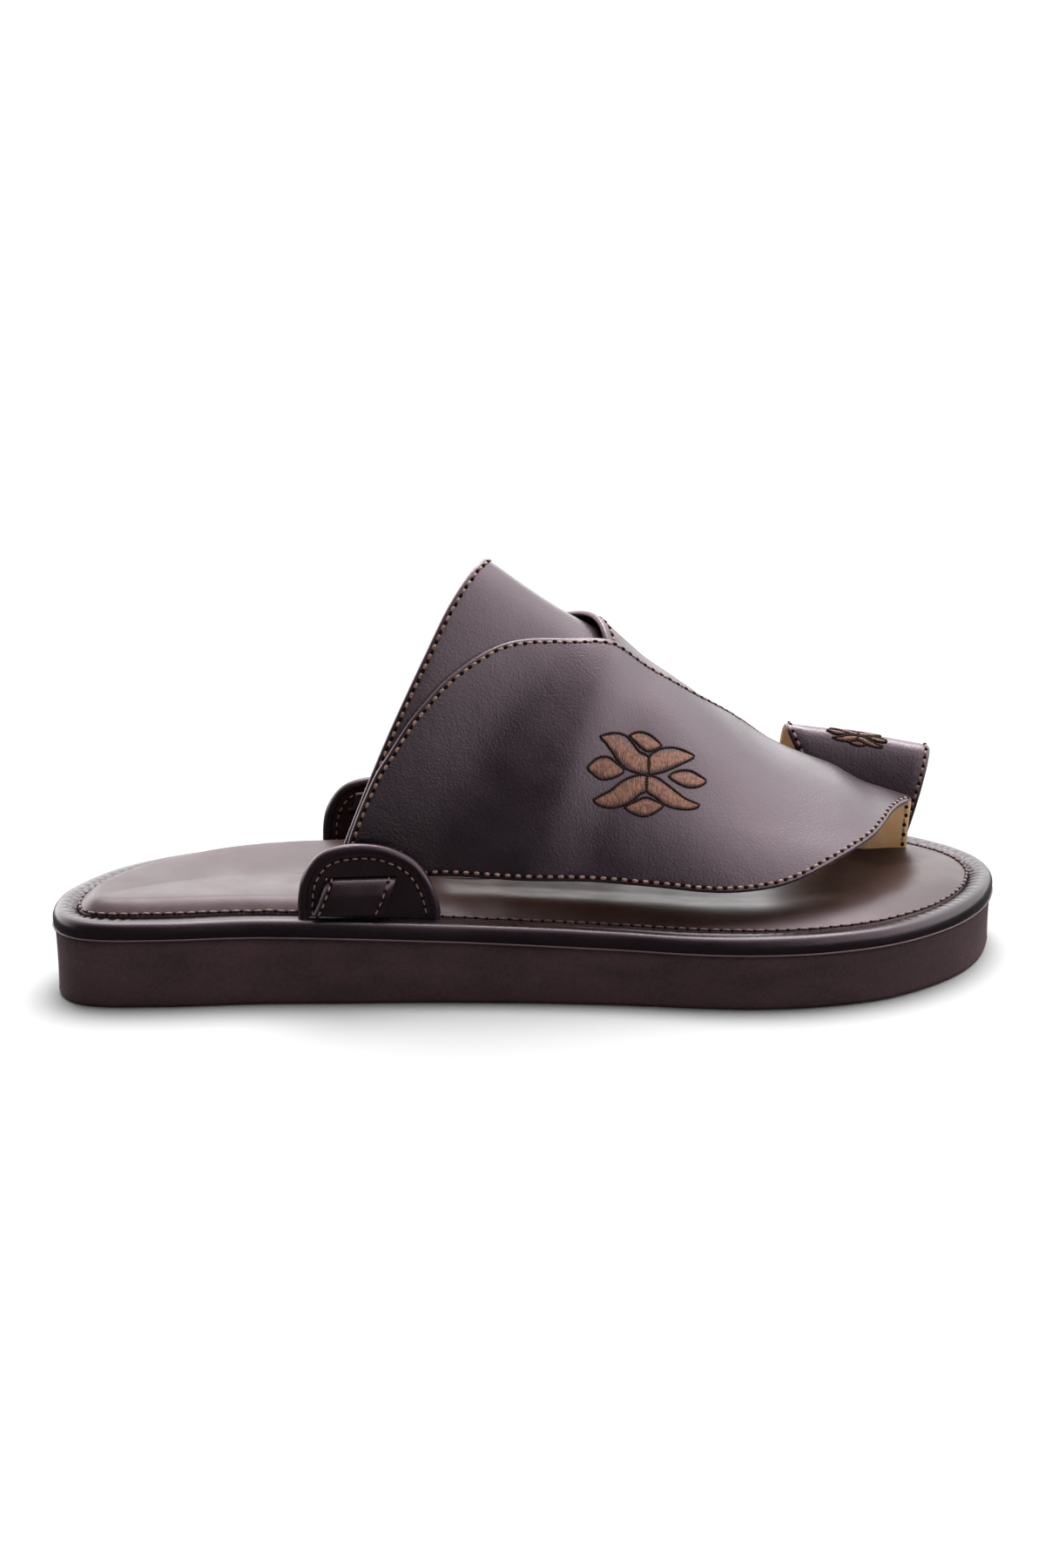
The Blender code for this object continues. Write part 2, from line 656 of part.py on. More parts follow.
def make_ear(name, place, side):
    """Half-moon tab on the insole's edge, with a slot for the upper's tail."""
    x, y, z = ear_place(place, side)
    rows = np.array(EAR_OUTLINE)
    rows = spline(rows, np.linspace(0, len(rows) - 1, 25))
    along = x + 0.5 * EAR_LENGTH * rows[:, 0]
    up = z + (SEAT_DEPTH + EAR_HEIGHT) * np.clip(rows[:, 1], 0, None)
    count = len(rows)
    points = []
    for face in (-0.5, 0.5):
        for a, h in zip(along, up):
            points.append((a, y + side * face * EAR_THICKNESS, h))
    faces = [tuple(range(count)), tuple(range(2 * count - 1, count - 1, -1))]
    for i in range(count):
        j = (i + 1) % count
        faces.append((i, i + count, j + count, j))
    ear = add_object(name, finished_mesh(name, points, faces), (0.042, 0.016, 0.016), 0.35)
    slot_z = z + SEAT_DEPTH + SLOT_RISE
    length = TAIL_WIDTH + 2 * (SLOT_SPARE + CLEARANCE)
    cutter = box_mesh(name + "_slot", (x - SLOT_SHIFT, y, slot_z),
                      (length, 2 * EAR_THICKNESS, SLOT_HEIGHT), 0.0)
    boolean(ear, helper(name + "_slot", cutter), "DIFFERENCE")
    return ear


def box_mesh(name, centre, size, turn):
    """A box of a size about a centre, turned about the upright axis."""
    cos, sin = np.cos(turn), np.sin(turn)
    points = []
    for dz in (-0.5, 0.5):
        for dx, dy in ((-0.5, -0.5), (0.5, -0.5), (0.5, 0.5), (-0.5, 0.5)):
            a, b = dx * size[0], dy * size[1]
            spot = (centre[0] + a * cos - b * sin, centre[1] + a * sin + b * cos,
                    centre[2] + dz * size[2])
            points.append(spot)
    faces = [(0, 1, 2, 3), (4, 5, 6, 7), (0, 1, 5, 4), (1, 2, 6, 5), (2, 3, 7, 6), (3, 0, 4, 7)]
    return finished_mesh(name, points, faces)


def seat_slot(name, start, end, inner, outer, foot):
    """A slot for a sheet's foot, along a straight line, between two offsets from it."""
    start, end = np.array(start), np.array(end)
    along = (end - start) / np.linalg.norm(end - start)
    aside = np.array([-along[1], along[0]])
    low, high = inner - CLEARANCE, outer + CLEARANCE
    centre = 0.5 * (start + end) + aside * 0.5 * (low + high)
    length = np.linalg.norm(end - start) + 2 * TOE_SLOT_SPARE
    floor = foot - 4 * CLEARANCE
    reach = 6 * SEAT_DEPTH
    mesh = box_mesh(name, (*centre, floor + reach / 2), (length, high - low, reach),
                    np.arctan2(along[1], along[0]))
    return helper(name, mesh)


def cut_seats(rand, insole):
    """Slots in the insole and the rand for the upper, the ring and the ears."""
    sole = np.array([SOLE_LENGTH, SOLE_WIDTH])
    rear, front = np.array(TOE_SLOT_REAR) * sole, np.array(TOE_SLOT_FRONT) * sole
    both = LEATHER + 2 * CLEARANCE + RING_WALL
    foot = min(TENT[-2:, 8].min(), RING[:, 5].min())
    toe_slot = seat_slot("toe_slot", rear, front, -TOE_SLOT_SPARE, both + TOE_SLOT_SPARE, foot)
    boolean(insole, toe_slot, "DIFFERENCE")
    feet = RING[:, 6:9]
    ring_slot = seat_slot("ring_slot", feet[0, :2], feet[-1, :2], -TOE_SLOT_SPARE,
                          RING_WALL + TOE_SLOT_SPARE, feet[:, 2].min())
    boolean(insole, ring_slot, "DIFFERENCE")
    for name, place, side in EARS:
        x, y, z = ear_place(place, side)
        half = 0.5 * EAR_LENGTH
        slot = seat_slot(name + "_seat", (x - half, y), (x + half, y),
                         -0.5 * EAR_THICKNESS, 0.5 * EAR_THICKNESS, z)
        boolean(insole, slot, "DIFFERENCE")
        boolean(rand, slot, "DIFFERENCE")


def main():
    for obj in list(bpy.data.objects):
        bpy.data.objects.remove(obj)
    make_outsole()
    rand = make_rand()
    insole = make_insole()
    cut_seats(rand, insole)
    make_upper()
    make_toe_ring()
    for name, place, side in EARS:
        make_ear(name, place, side)


main()
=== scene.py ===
# %% [markdown]
# # An open leather sandal from Arabia, dressed for a studio picture
# The sandal is already built as solids in their true sizes. This lesson loads them as a fixed
# frame and dresses them: each piece of leather gets its cut edges, lining, stitches and gloss.
# Nothing here changes the size of the sandal. +X points to the toe, +Y to the inner side of
# the foot and +Z up, in metres.

import bmesh
import bpy
import numpy as np
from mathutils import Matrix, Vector
from mathutils.geometry import delaunay_2d_cdt


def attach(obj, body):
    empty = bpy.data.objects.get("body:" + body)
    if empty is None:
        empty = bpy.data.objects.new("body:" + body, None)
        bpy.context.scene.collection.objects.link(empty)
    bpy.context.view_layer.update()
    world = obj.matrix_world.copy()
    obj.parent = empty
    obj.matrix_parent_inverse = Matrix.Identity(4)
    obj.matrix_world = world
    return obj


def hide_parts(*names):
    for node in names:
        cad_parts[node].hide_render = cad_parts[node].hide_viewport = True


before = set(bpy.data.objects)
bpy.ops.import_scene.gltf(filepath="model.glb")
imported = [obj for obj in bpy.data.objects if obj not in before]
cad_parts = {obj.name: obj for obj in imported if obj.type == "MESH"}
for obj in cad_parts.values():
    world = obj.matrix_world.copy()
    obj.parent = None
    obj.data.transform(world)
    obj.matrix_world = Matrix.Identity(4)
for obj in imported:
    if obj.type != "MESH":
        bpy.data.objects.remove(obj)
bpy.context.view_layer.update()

# %% [markdown]
# The sizes below are the ones the sandal was cut to. Places along and across the sole are
# written as shares of its length and width, as a pattern cutter grades a size, so that the
# same few tables draw the sole, the tent of the upper and the toe ring.

# %% Sizes of the sandal
SOLE_LENGTH = 0.290
SOLE_WIDTH = 0.109
HEEL_THICKNESS = 0.021
FORE_THICKNESS = 0.017
RAND_HEIGHT = 0.0058
RAND_WIDTH = 0.0068
RAND_PROUD = 0.0006
INSOLE_EDGE_HEIGHT = 0.0050
INSOLE_RISE = 0.0032
INSOLE_DISH = 0.0020
INSOLE_RIM_WIDTH = 0.013
INSOLE_DISH_WIDTH = 0.0286
INSOLE_SPINE_LENGTH = 0.197
HEEL_PAD_RISE = 0.0043
HEEL_PAD_RIM_WIDTH = 0.0065
HEEL_PAD_DISH = 0.0012
ARCH_RISE = 0.0014
EAR_SEAT = 0.0039
INSTEP_HEIGHT = 0.1001
RING_HEIGHT = 0.0420
RING_WALL = 0.0019
RING_BESIDE = 0.00534
EAR_LENGTH = 0.0420
EAR_HEIGHT = 0.0224
EAR_THICKNESS = 0.0030
SLOT_HEIGHT = 0.0050
SLOT_RISE = 0.0114
SLOT_SHIFT = 0.0021
TAIL_WIDTH = 0.0205
SEAT_DEPTH = 0.0025
CLEARANCE = 0.0003
MM = 0.001

# %% [markdown]
# A pattern maker keeps the sole's outline, the shape of the last and the small parts as paper
# patterns. The tables below are those patterns. They are rows given one by one, because the
# sole, the last and the ear follow a foot and not a formula.

# %% Tables of the pattern
OUTLINE = [
    # along, across: clockwise from the back of the heel along the outer side
    (-0.500, -0.165), (-0.488, -0.270), (-0.455, -0.322), (-0.390, -0.338),
    (-0.300, -0.338), (-0.180, -0.360), (-0.060, -0.384), (0.065, -0.428),
    (0.160, -0.480), (0.225, -0.500), (0.290, -0.490), (0.360, -0.438),
    (0.425, -0.330), (0.470, -0.195), (0.495, -0.050), (0.500, 0.060),
    (0.490, 0.170), (0.462, 0.275), (0.415, 0.375), (0.350, 0.452),
    (0.270, 0.493), (0.190, 0.500), (0.090, 0.462), (-0.020, 0.395),
    (-0.140, 0.340), (-0.260, 0.312), (-0.360, 0.255), (-0.440, 0.140),
    (-0.487, -0.020),
]
HEEL_END = -0.33
FORE_START = 0.18
HEEL_PAD_FADE = (-0.20, -0.05)
ARCH_START = (-0.45, -0.28)
ARCH_ACROSS = (0.00, 0.22)
TOE_SLOT_REAR = (0.345, 0.188)
TOE_SLOT_FRONT = (0.419, 0.150)
SECTIONS = [
    # ridge along, across, up; outer foot along, across; inner foot along, across;
    # crest; outer bulge; inner bulge
    (-0.0500, 0.009, 1.000, -0.241, -0.240, -0.214, 0.222, 0.46, 0.004, 0.004),
    (0.0172, 0.023, 0.864, -0.141, -0.243, -0.114, 0.230, 0.46, 0.006, 0.006),
    (0.0862, 0.041, 0.748, -0.034, -0.316, -0.028, 0.324, 0.48, 0.022, 0.022),
    (0.1655, 0.060, 0.589, 0.083, -0.371, 0.076, 0.376, 0.50, 0.027, 0.027),
    (0.2483, 0.083, 0.400, 0.200, -0.390, 0.196, 0.340, 0.52, 0.027, 0.020),
    (0.3345, 0.105, 0.286, 0.317, -0.349, *TOE_SLOT_REAR, 0.52, 0.018, 0.000),
    (0.4207, 0.119, 0.192, 0.421, -0.239, *TOE_SLOT_FRONT, 0.50, 0.000, 0.000),
]
FLANK_LIFT = 0.45
RING_SECTIONS = [
    # ridge along, across, up; way along the slot; inner foot along, across; crest;
    # outer bulge; inner bulge
    (0.2880, 0.258, 0.955, 0.12, 0.290, 0.375, 0.56, 0.010, 0.050),
    (0.3700, 0.256, 0.867, 0.545, 0.346, 0.3335, 0.56, 0.020, 0.060),
    (0.4470, 0.236, 0.771, 0.97, 0.402, 0.292, 0.56, 0.030, 0.070),
]
RING_LIFT = 0.62
OUTER_EAR = (-0.1780, -0.317)
INNER_EAR = (-0.1490, 0.296)
EAR_OUTLINE = [
    # along, up: shares of half the ear's length and of its height
    (-1.00, 0.00), (-0.985, 0.40), (-0.90, 0.66), (-0.70, 0.88), (-0.40, 0.98),
    (0.00, 1.00), (0.35, 0.93), (0.68, 0.76), (0.90, 0.48), (1.00, 0.18), (1.00, 0.00),
]
TAIL_PATH = [
    # out, up, back: in ear thicknesses, ear heights and tail widths
    (-1.45, 0.82, 0.00), (-1.22, 0.66, 0.03), (-0.80, 0.55, 0.06), (0.00, 0.512, 0.09),
    (0.62, 0.476, 0.12), (1.02, 0.35, 0.18), (1.08, 0.19, 0.25), (1.08, 0.065, 0.32),
]

# %% [markdown]
# The leather pieces of the upper are cut on one tent. "run" counts its sections from the
# band's rear edge to the front tip, and "round" goes from -1 at the outer foot over 0 at the
# ridge to 1 at the inner foot. Drawing the cut edges in run and round is like drawing them
# on the last itself: the pieces then lap without gaps whatever the tent's shape is.

# %% Cut edges of the upper
BAND_REAR = [
    # run, round
    (0.09, -0.93), (-0.02, -0.84), (-0.13, -0.68), (-0.18, -0.57), (-0.21, -0.44),
    (-0.22, -0.30), (-0.15, -0.15), (-0.04, 0.00), (0.02, 0.15), (0.03, 0.30),
    (0.04, 0.44), (0.06, 0.57), (0.08, 0.68), (0.13, 0.84), (0.19, 0.93),
]
BAND_FRONT = [
    (0.84, 0.93), (1.06, 0.70), (1.45, 0.40), (1.80, 0.10), (1.80, -0.10),
    (1.45, -0.40), (1.06, -0.70), (0.84, -0.93),
]
OUTER_TOP = [
    (0.15, -0.915), (0.00, -0.833), (-0.08, -0.712), (-0.06, -0.648), (-0.03, -0.587),
    (0.02, -0.543), (0.12, -0.477), (0.26, -0.418), (0.43, -0.359), (0.63, -0.307),
    (0.88, -0.260), (1.14, -0.220), (1.42, -0.181), (1.72, -0.146), (2.04, -0.124),
    (2.38, -0.112), (2.71, -0.101), (3.06, -0.080), (3.45, -0.010), (3.85, 0.100),
    (4.30, 0.190), (4.70, 0.260), (4.95, 0.440), (5.03, 0.700), (5.06, 1.000),
]
OUTER_FRONT = [(6.00, 1.000), (6.00, 0.60), (6.00, 0.25), (5.99, 0.06)]
OUTER_LOW = [
    (5.88, -0.078), (5.74, -0.150), (5.58, -0.245), (5.31, -0.420), (5.06, -0.526),
    (4.80, -0.615), (4.58, -0.686), (4.37, -0.743), (4.17, -0.779), (3.86, -0.808),
    (3.56, -0.819), (3.08, -0.822), (2.59, -0.834), (2.11, -0.857), (1.64, -0.878),
    (1.16, -0.897), (0.80, -0.912),
]
INNER_TOP = [
    (0.24, 0.915), (0.17, 0.83), (0.13, 0.70), (0.18, 0.55), (0.33, 0.43),
    (0.64, 0.32), (1.08, 0.215), (1.42, 0.10), (1.60, 0.00), (1.79, -0.13),
    (2.00, -0.24),
]
INNER_LOW = [
    (3.00, -0.25), (4.00, -0.16), (4.70, -0.05), (4.80, 0.06), (4.55, 0.14),
    (4.15, 0.23), (3.85, 0.36), (3.65, 0.52), (3.40, 0.67), (2.90, 0.79),
    (2.17, 0.850), (1.69, 0.876), (1.18, 0.897), (0.80, 0.912),
]

# %% [markdown]
# A few helpers draw smooth curves through the rows of a table. A Catmull-Rom curve passes
# through every row, so a number in a table is a place on the real sandal and not a control
# handle beside it.

# %% Curves through tables
STEPS_PER_ROW = 16


def spline(table, where):
    """Points on a smooth curve through a table's rows, at row numbers."""
    rows = np.asarray(table, float)
    where = np.atleast_1d(np.asarray(where, float))
    ends = np.vstack([2 * rows[0] - rows[1], rows, 2 * rows[-1] - rows[-2]])
    k = np.clip(np.floor(where).astype(int), 0, len(rows) - 2)
    f = (where - k)[:, None]
    a, b, c, d = ends[k], ends[k + 1], ends[k + 2], ends[k + 3]
    bend = (2 * a - 5 * b + 4 * c - d) * f ** 2 + (3 * b - a - 3 * c + d) * f ** 3
    return 0.5 * (2 * b + (c - a) * f + bend)


def dense(table, per_row=STEPS_PER_ROW):
    """A table's curve as many close points."""
    return spline(table, np.linspace(0, len(table) - 1, (len(table) - 1) * per_row + 1))


def closed_spline(table, per_row):
    """A closed curve through a table's rows, the last one joined to the first."""
    rows = np.asarray(table, float)
    ring = np.vstack([rows[-2:], rows, rows[:3]])
    return spline(ring, 2 + np.arange(len(rows) * per_row) / per_row)


def smooth(x, start, end):
    """A soft step from 0 at the start to 1 at the end."""
    t = np.clip((np.asarray(x, float) - start) / (end - start), 0.0, 1.0)
    return t * t * (3 - 2 * t)


def spaced(points, pitch, closed=False):
    """Where along a line of 3-D points its evenly spaced points lie, as row numbers."""
    line = np.vstack([points, points[:1]]) if closed else points
    along = np.r_[0, np.cumsum(np.linalg.norm(np.diff(line, axis=0), axis=1))]
    count = max(2, int(round(along[-1] / pitch)))
    wanted = np.linspace(0, along[-1], count + 1)
    return np.interp(wanted[:-1] if closed else wanted, along, np.arange(len(line)))


def at_rows(points, rows, closed=False):
    """The points of a line at row numbers that may lie between its rows."""
    line = np.vstack([points, points[:1]]) if closed else points
    return np.column_stack([np.interp(rows, np.arange(len(line)), c) for c in line.T])

# %% [markdown]
# The sole's edge is one closed curve, and the foam, the rand, the seam and the padding all
# follow it. It is worked out once, with its normals and its length. The heights of the foam and
# of the insole are functions of the place, so whatever stands on them finds its own height.

# %% Sole outline and heights
EDGE_STEPS = 36
COARSE_EVERY = 4
SPOTS_AT_ONCE = 2000
LOOP = closed_spline(OUTLINE, EDGE_STEPS) * (SOLE_LENGTH, SOLE_WIDTH)
COARSE_LOOP = LOOP[::COARSE_EVERY]
AHEAD = np.roll(LOOP, -1, axis=0) - np.roll(LOOP, 1, axis=0)
NORMALS = np.column_stack([AHEAD[:, 1], -AHEAD[:, 0]])
NORMALS /= np.linalg.norm(NORMALS, axis=1)[:, None]
LOOP_STEPS = np.linalg.norm(np.diff(np.vstack([LOOP, LOOP[:1]]), axis=0), axis=1)
LOOP_ALONG = np.r_[0, np.cumsum(LOOP_STEPS)[:-1]]
LOOP_LENGTH = LOOP_STEPS.sum()
print("sole edge:", round(LOOP_LENGTH, 3), "m round")


def foam_top(x):
    """Height of the foam: thick under the heel, thinner from the ball on."""
    share = smooth(np.asarray(x) / SOLE_LENGTH, HEEL_END, FORE_START)
    return HEEL_THICKNESS + (FORE_THICKNESS - HEEL_THICKNESS) * share


def from_edge(x, y):
    """Distance of spots from the sole's edge."""
    spots = np.column_stack([np.ravel(x), np.ravel(y)])
    reach = [np.linalg.norm(part[:, None] - COARSE_LOOP, axis=2).min(axis=1)
             for part in np.array_split(spots, max(1, len(spots) // SPOTS_AT_ONCE))]
    return np.concatenate(reach).reshape(np.shape(x))


def padding(inside, rise, rim_width, dish):
    """A pad's height over its seam: a rim that rises, then a shallow dish."""
    rim = rise * np.sin(0.5 * np.pi * np.clip(inside / rim_width, 0, 1))
    return rim - dish * smooth(inside, rim_width, INSOLE_DISH_WIDTH)


def insole_top(x, y, padded=1.0):
    """Height of the insole: a thick pad with a steep rim at the heel, flatter ahead."""
    x, y = np.broadcast_arrays(np.asarray(x, float), np.asarray(y, float))
    inside = np.clip(from_edge(x, y) - RAND_WIDTH, 0.0, None)
    along = x / SOLE_LENGTH
    fore = padding(inside, INSOLE_RISE, INSOLE_RIM_WIDTH, INSOLE_DISH)
    heel = padding(inside, HEEL_PAD_RISE, HEEL_PAD_RIM_WIDTH, HEEL_PAD_DISH)
    heel_share = padded * (1 - smooth(along, *HEEL_PAD_FADE))
    arch_share = smooth(along, *ARCH_START) * smooth(y / SOLE_WIDTH, *ARCH_ACROSS)
    arch = ARCH_RISE * arch_share * heel_share * smooth(inside, 0.0, HEEL_PAD_RIM_WIDTH)
    return foam_top(x) + INSOLE_EDGE_HEIGHT + fore + (heel - fore) * heel_share + arch

# %% [markdown]
# Leather on a last bends one way at a time, so each half of a section of the upper is one
# soft curve: it leaves the ridge level, and comes down to its foot a little bulged. The
# same function makes the upper's tent and the ring for the big toe.

# %% The tent and the ring as surfaces
def section_table(rows, height):
    """Sections in metres, from rows that hold shares of the sole's sizes and of a height."""
    table = []
    for row in rows:
        (ridge_x, ridge_y, up, out_x, out_y, in_x, in_y, crest, out_bulge, in_bulge) = row
        ridge = (ridge_x * SOLE_LENGTH, ridge_y * SOLE_WIDTH)
        outer = (out_x * SOLE_LENGTH, out_y * SOLE_WIDTH)
        inner = (in_x * SOLE_LENGTH, in_y * SOLE_WIDTH)
        table.append([
            *ridge, float(foam_top(ridge[0])) + INSOLE_EDGE_HEIGHT + up * height,
            *outer, float(insole_top(*outer, 0.0)) - SEAT_DEPTH,
            *inner, float(insole_top(*inner, 0.0)) - SEAT_DEPTH,
            crest, -out_bulge * SOLE_WIDTH, in_bulge * SOLE_WIDTH,
        ])
    return np.array(table)


def ring_rows():
    """The ring's sections, with their outer feet in the slot between the toes."""
    start, end = np.array(TOE_SLOT_REAR), np.array(TOE_SLOT_FRONT)
    rows = []
    for ridge_x, ridge_y, up, way, *rest in RING_SECTIONS:
        foot = start + (end - start) * way
        rows.append((ridge_x, ridge_y, up, foot[0], foot[1] + RING_BESIDE / SOLE_WIDTH, *rest))
    return rows


TENT = section_table(SECTIONS, INSTEP_HEIGHT)
RING = section_table(ring_rows(), RING_HEIGHT)


def arched(table, lift, run, around):
    """Points of a leather arch: a curve on each side from its ridge down to its foot."""
    row = spline(table, run)
    around = np.atleast_1d(np.asarray(around, float))
    outer = (around < 0)[:, None]
    ridge, crest = row[:, 0:3], row[:, 9]
    foot = np.where(outer, row[:, 3:6], row[:, 6:9])
    bulge = np.where(outer[:, 0], row[:, 10], row[:, 11])
    t = np.abs(around)[:, None]
    shoulder = ridge.copy()
    shoulder[:, 1] += crest * (foot[:, 1] - ridge[:, 1])
    flank = foot + lift * (ridge - foot) * (1, 0, 1)
    flank[:, 1] += bulge
    s = 1 - t
    return s ** 3 * ridge + 3 * s * s * t * shoulder + 3 * s * t * t * flank + t ** 3 * foot


def tent(run, around):
    """The upper's own arch."""
    return arched(TENT, FLANK_LIFT, run, around)


def ring(run, around):
    """The toe ring's arch."""
    return arched(RING, RING_LIFT, run, around)


print("band's ridge:", round(float(TENT[0, 2]), 4), "m up; ring's:", round(float(RING[0, 2]), 4))

# %% [markdown]
# A seam lies a set distance from a cut edge, and a layer lies a set distance above another, in
# real millimetres. Run and round aren't millimetres, so two helpers measure how the surface
# moves with them and turn real distances along it, or away from it, into places.

# %% Distances on a surface
PROBE = 1e-3


def slopes(surface, spots):
    """How a surface moves with run and with round at each spot, and its unit normal."""
    run, around = spots.T
    by_run = (surface(run + PROBE, around) - surface(run - PROBE, around)) / (2 * PROBE)
    by_round = (surface(run, around + PROBE) - surface(run, around - PROBE)) / (2 * PROBE)
    normal = np.cross(by_run, by_round)
    return by_run, by_round, normal / np.linalg.norm(normal, axis=1)[:, None]


def stand_off(surface, spots, out):
    """Points over a surface, out along its normals."""
    return surface(*spots.T) + slopes(surface, spots)[2] * np.reshape(out, (-1, 1))


def inset(surface, spots, distance, closed=True):
    """A line drawn on a surface moved sideways over it by a real distance."""
    by_run, by_round, normal = slopes(surface, spots)
    if closed:
        ahead = np.roll(spots, -1, axis=0) - np.roll(spots, 1, axis=0)
    else:
        ahead = np.gradient(spots, axis=0)
    aside = np.cross(normal, by_run * ahead[:, :1] + by_round * ahead[:, 1:])
    aside /= np.linalg.norm(aside, axis=1)[:, None]
    e, f, g = ((a * b).sum(axis=1) for a, b in
               ((by_run, by_run), (by_run, by_round), (by_round, by_round)))
    p, q = (aside * by_run).sum(axis=1), (aside * by_round).sum(axis=1)
    turn = np.column_stack([p * g - q * f, q * e - p * f]) / (e * g - f * f)[:, None]
    return spots + np.reshape(distance, (-1, 1)) * turn

# %% [markdown]
# Every finish is made of nodes on Object coordinates, in metres, so its grain keeps its real
# size. A small helper links one node after another, which keeps each finish short to read.

# %% Helpers for finishes
def plug(tree, socket, value):
    """Sets a socket to a value, or links another node's output to it."""
    if isinstance(value, bpy.types.NodeSocket):
        tree.links.new(value, socket)
    else:
        socket.default_value = value


def add_node(tree, kind, settings=None, **inputs):
    """A node with its settings, and with its inputs set or linked by name."""
    node = tree.nodes.new(kind)
    for name, value in (settings or {}).items():
        setattr(node, name, value)
    for name, value in inputs.items():
        plug(tree, next(s for s in node.inputs
                        if s.name.replace(" ", "_") == name and s.enabled), value)
    return node


def calculated(tree, operation, *values):
    """The result of a calculation with numbers and other nodes' outputs."""
    node = add_node(tree, "ShaderNodeMath", {"operation": operation})
    for socket, value in zip(node.inputs, values):
        plug(tree, socket, value)
    return node.outputs["Value"]


def blend_of(tree, factor, first, second):
    """A colour between two, by a factor."""
    ramp = add_node(tree, "ShaderNodeValToRGB", Fac=factor)
    ramp.color_ramp.elements[0].color = (*first, 1)
    ramp.color_ramp.elements[1].color = (*second, 1)
    return ramp.outputs["Color"]


def noise(tree, size, detail=3.0, stretch=(1, 1, 1)):
    """Noise whose lumps are of a real size."""
    place = add_node(tree, "ShaderNodeTexCoord")
    scaled = add_node(tree, "ShaderNodeMapping", Vector=place.outputs["Object"])
    scaled.inputs["Scale"].default_value = stretch
    return add_node(tree, "ShaderNodeTexNoise", Vector=scaled.outputs["Vector"],
                    Scale=1.0 / size, Detail=detail).outputs["Fac"]


def clipped(tree, value, low, high, to_low=0.0, to_high=1.0):
    """A value spread from one range to another."""
    node = add_node(tree, "ShaderNodeMapRange", Value=value)
    for name, number in (("From Min", low), ("From Max", high),
                         ("To Min", to_low), ("To Max", to_high)):
        node.inputs[name].default_value = number
    return node.outputs["Result"]


def new_finish(name):
    """A new material, its node tree and its shader."""
    finish = bpy.data.materials.new(name)
    finish.use_nodes = True
    tree = finish.node_tree
    return finish, tree, tree.nodes["Principled BSDF"]


def shaded(tree, shader, values):
    """Sets or links a shader's own sockets."""
    for name, value in values.items():
        plug(tree, shader.inputs[name], value)


def bumped(tree, shader, height, distance, before=None):
    """Relief of a real depth on a shader, over any relief before it."""
    bump = add_node(tree, "ShaderNodeBump", Height=height, Distance=distance, Strength=1.0)
    if before is not None:
        tree.links.new(before.outputs["Normal"], bump.inputs["Normal"])
    tree.links.new(bump.outputs["Normal"], shader.inputs["Normal"])
    return bump

# %% [markdown]
# The leather is calf with a waxed plum-brown finish: almost black in shade, and a warm
# grey-brown where light grazes it. Real hides aren't even, so a broad, slow noise moves the
# colour and the gloss a little, and a fine noise makes the pores. A thin coat gives the
# polish that lies over the colour.

# %% Leather finishes
GLOSS_PATCH = 0.012
GLOSSIER = 0.05
DULLER = 0.07
HIDE_WAVE = 0.018
HIDE_WAVE_DEPTH = 0.00035
PORE = 0.0007
WAX_ROUGHNESS = 0.22
WAX_IOR = 1.45
PLUM_SHINE = (1.0, 0.79, 0.89, 1)


def leather(name, dark, light, rough, coat, grain=0.00005, patch=0.035, shine=0.45):
    """Waxed leather between two colours, with pores of a real depth."""
    finish, tree, shader = new_finish(name)
    patches = clipped(tree, noise(tree, patch, 4.0), 0.35, 0.65)
    gloss = clipped(tree, noise(tree, GLOSS_PATCH, 5.0), 0.3, 0.7, rough - GLOSSIER,
                    rough + DULLER)
    shaded(tree, shader, {
        "Base Color": blend_of(tree, patches, dark, light), "Roughness": gloss,
        "Coat Weight": coat, "Coat Roughness": WAX_ROUGHNESS, "Coat IOR": WAX_IOR,
        "Specular IOR Level": shine, "Specular Tint": PLUM_SHINE,
    })
    waves = bumped(tree, shader, noise(tree, HIDE_WAVE, 2.0), HIDE_WAVE_DEPTH)
    bumped(tree, shader, noise(tree, PORE, 3.0), grain, waves)
    return finish


UPPER_LEATHER = leather("upper leather", (0.007, 0.004, 0.006), (0.012, 0.006, 0.009), 0.33, 0.05,
                        shine=0.50, grain=0.00011)
EAR_LEATHER = leather("ear leather", (0.008, 0.004, 0.006), (0.013, 0.007, 0.009), 0.27, 0.05,
                      shine=0.25)
RAND_LEATHER = leather("rand leather", (0.005, 0.003, 0.004), (0.009, 0.005, 0.007), 0.28, 0.05,
                       shine=0.22)
INSOLE_LEATHER = leather("insole leather", (0.016, 0.008, 0.008), (0.026, 0.014, 0.013),
                         0.40, 0.04, grain=0.00004, shine=0.22)
RAND_EDGE = leather("rand cut edge", (0.040, 0.024, 0.025), (0.070, 0.044, 0.045), 0.50, 0.0)
# Partly painted highlight: the raw cut edge is a paler brown of its own, made paler still to paint
# the light its rounded rim catches.
RAW_EDGE_AND_HIGHLIGHT = leather("cut edge", (0.120, 0.075, 0.078), (0.220, 0.150, 0.150), 0.50, 0.0)
LINING = leather("tan lining", (0.900, 0.560, 0.270), (0.960, 0.690, 0.400), 0.55, 0.0,
                 grain=0.00012, patch=0.006, shine=0.3)

# %% [markdown]
# The sole is cut from a sheet of microcellular foam with a hot knife. Its side is matt, deep
# burgundy, and freckled by the cut cells. Two noises make the freckles and the slow cloudy
# change of colour, and the same freckles make the relief.

# %% Foam finish
FRECKLE = 0.0011
FRECKLE_DEPTH = 0.00022
FRECKLE_WEIGHT = 0.6
CLOUD = 0.020
FOAM_DARK = (0.019, 0.009, 0.011)
FOAM_LIGHT = (0.046, 0.021, 0.025)


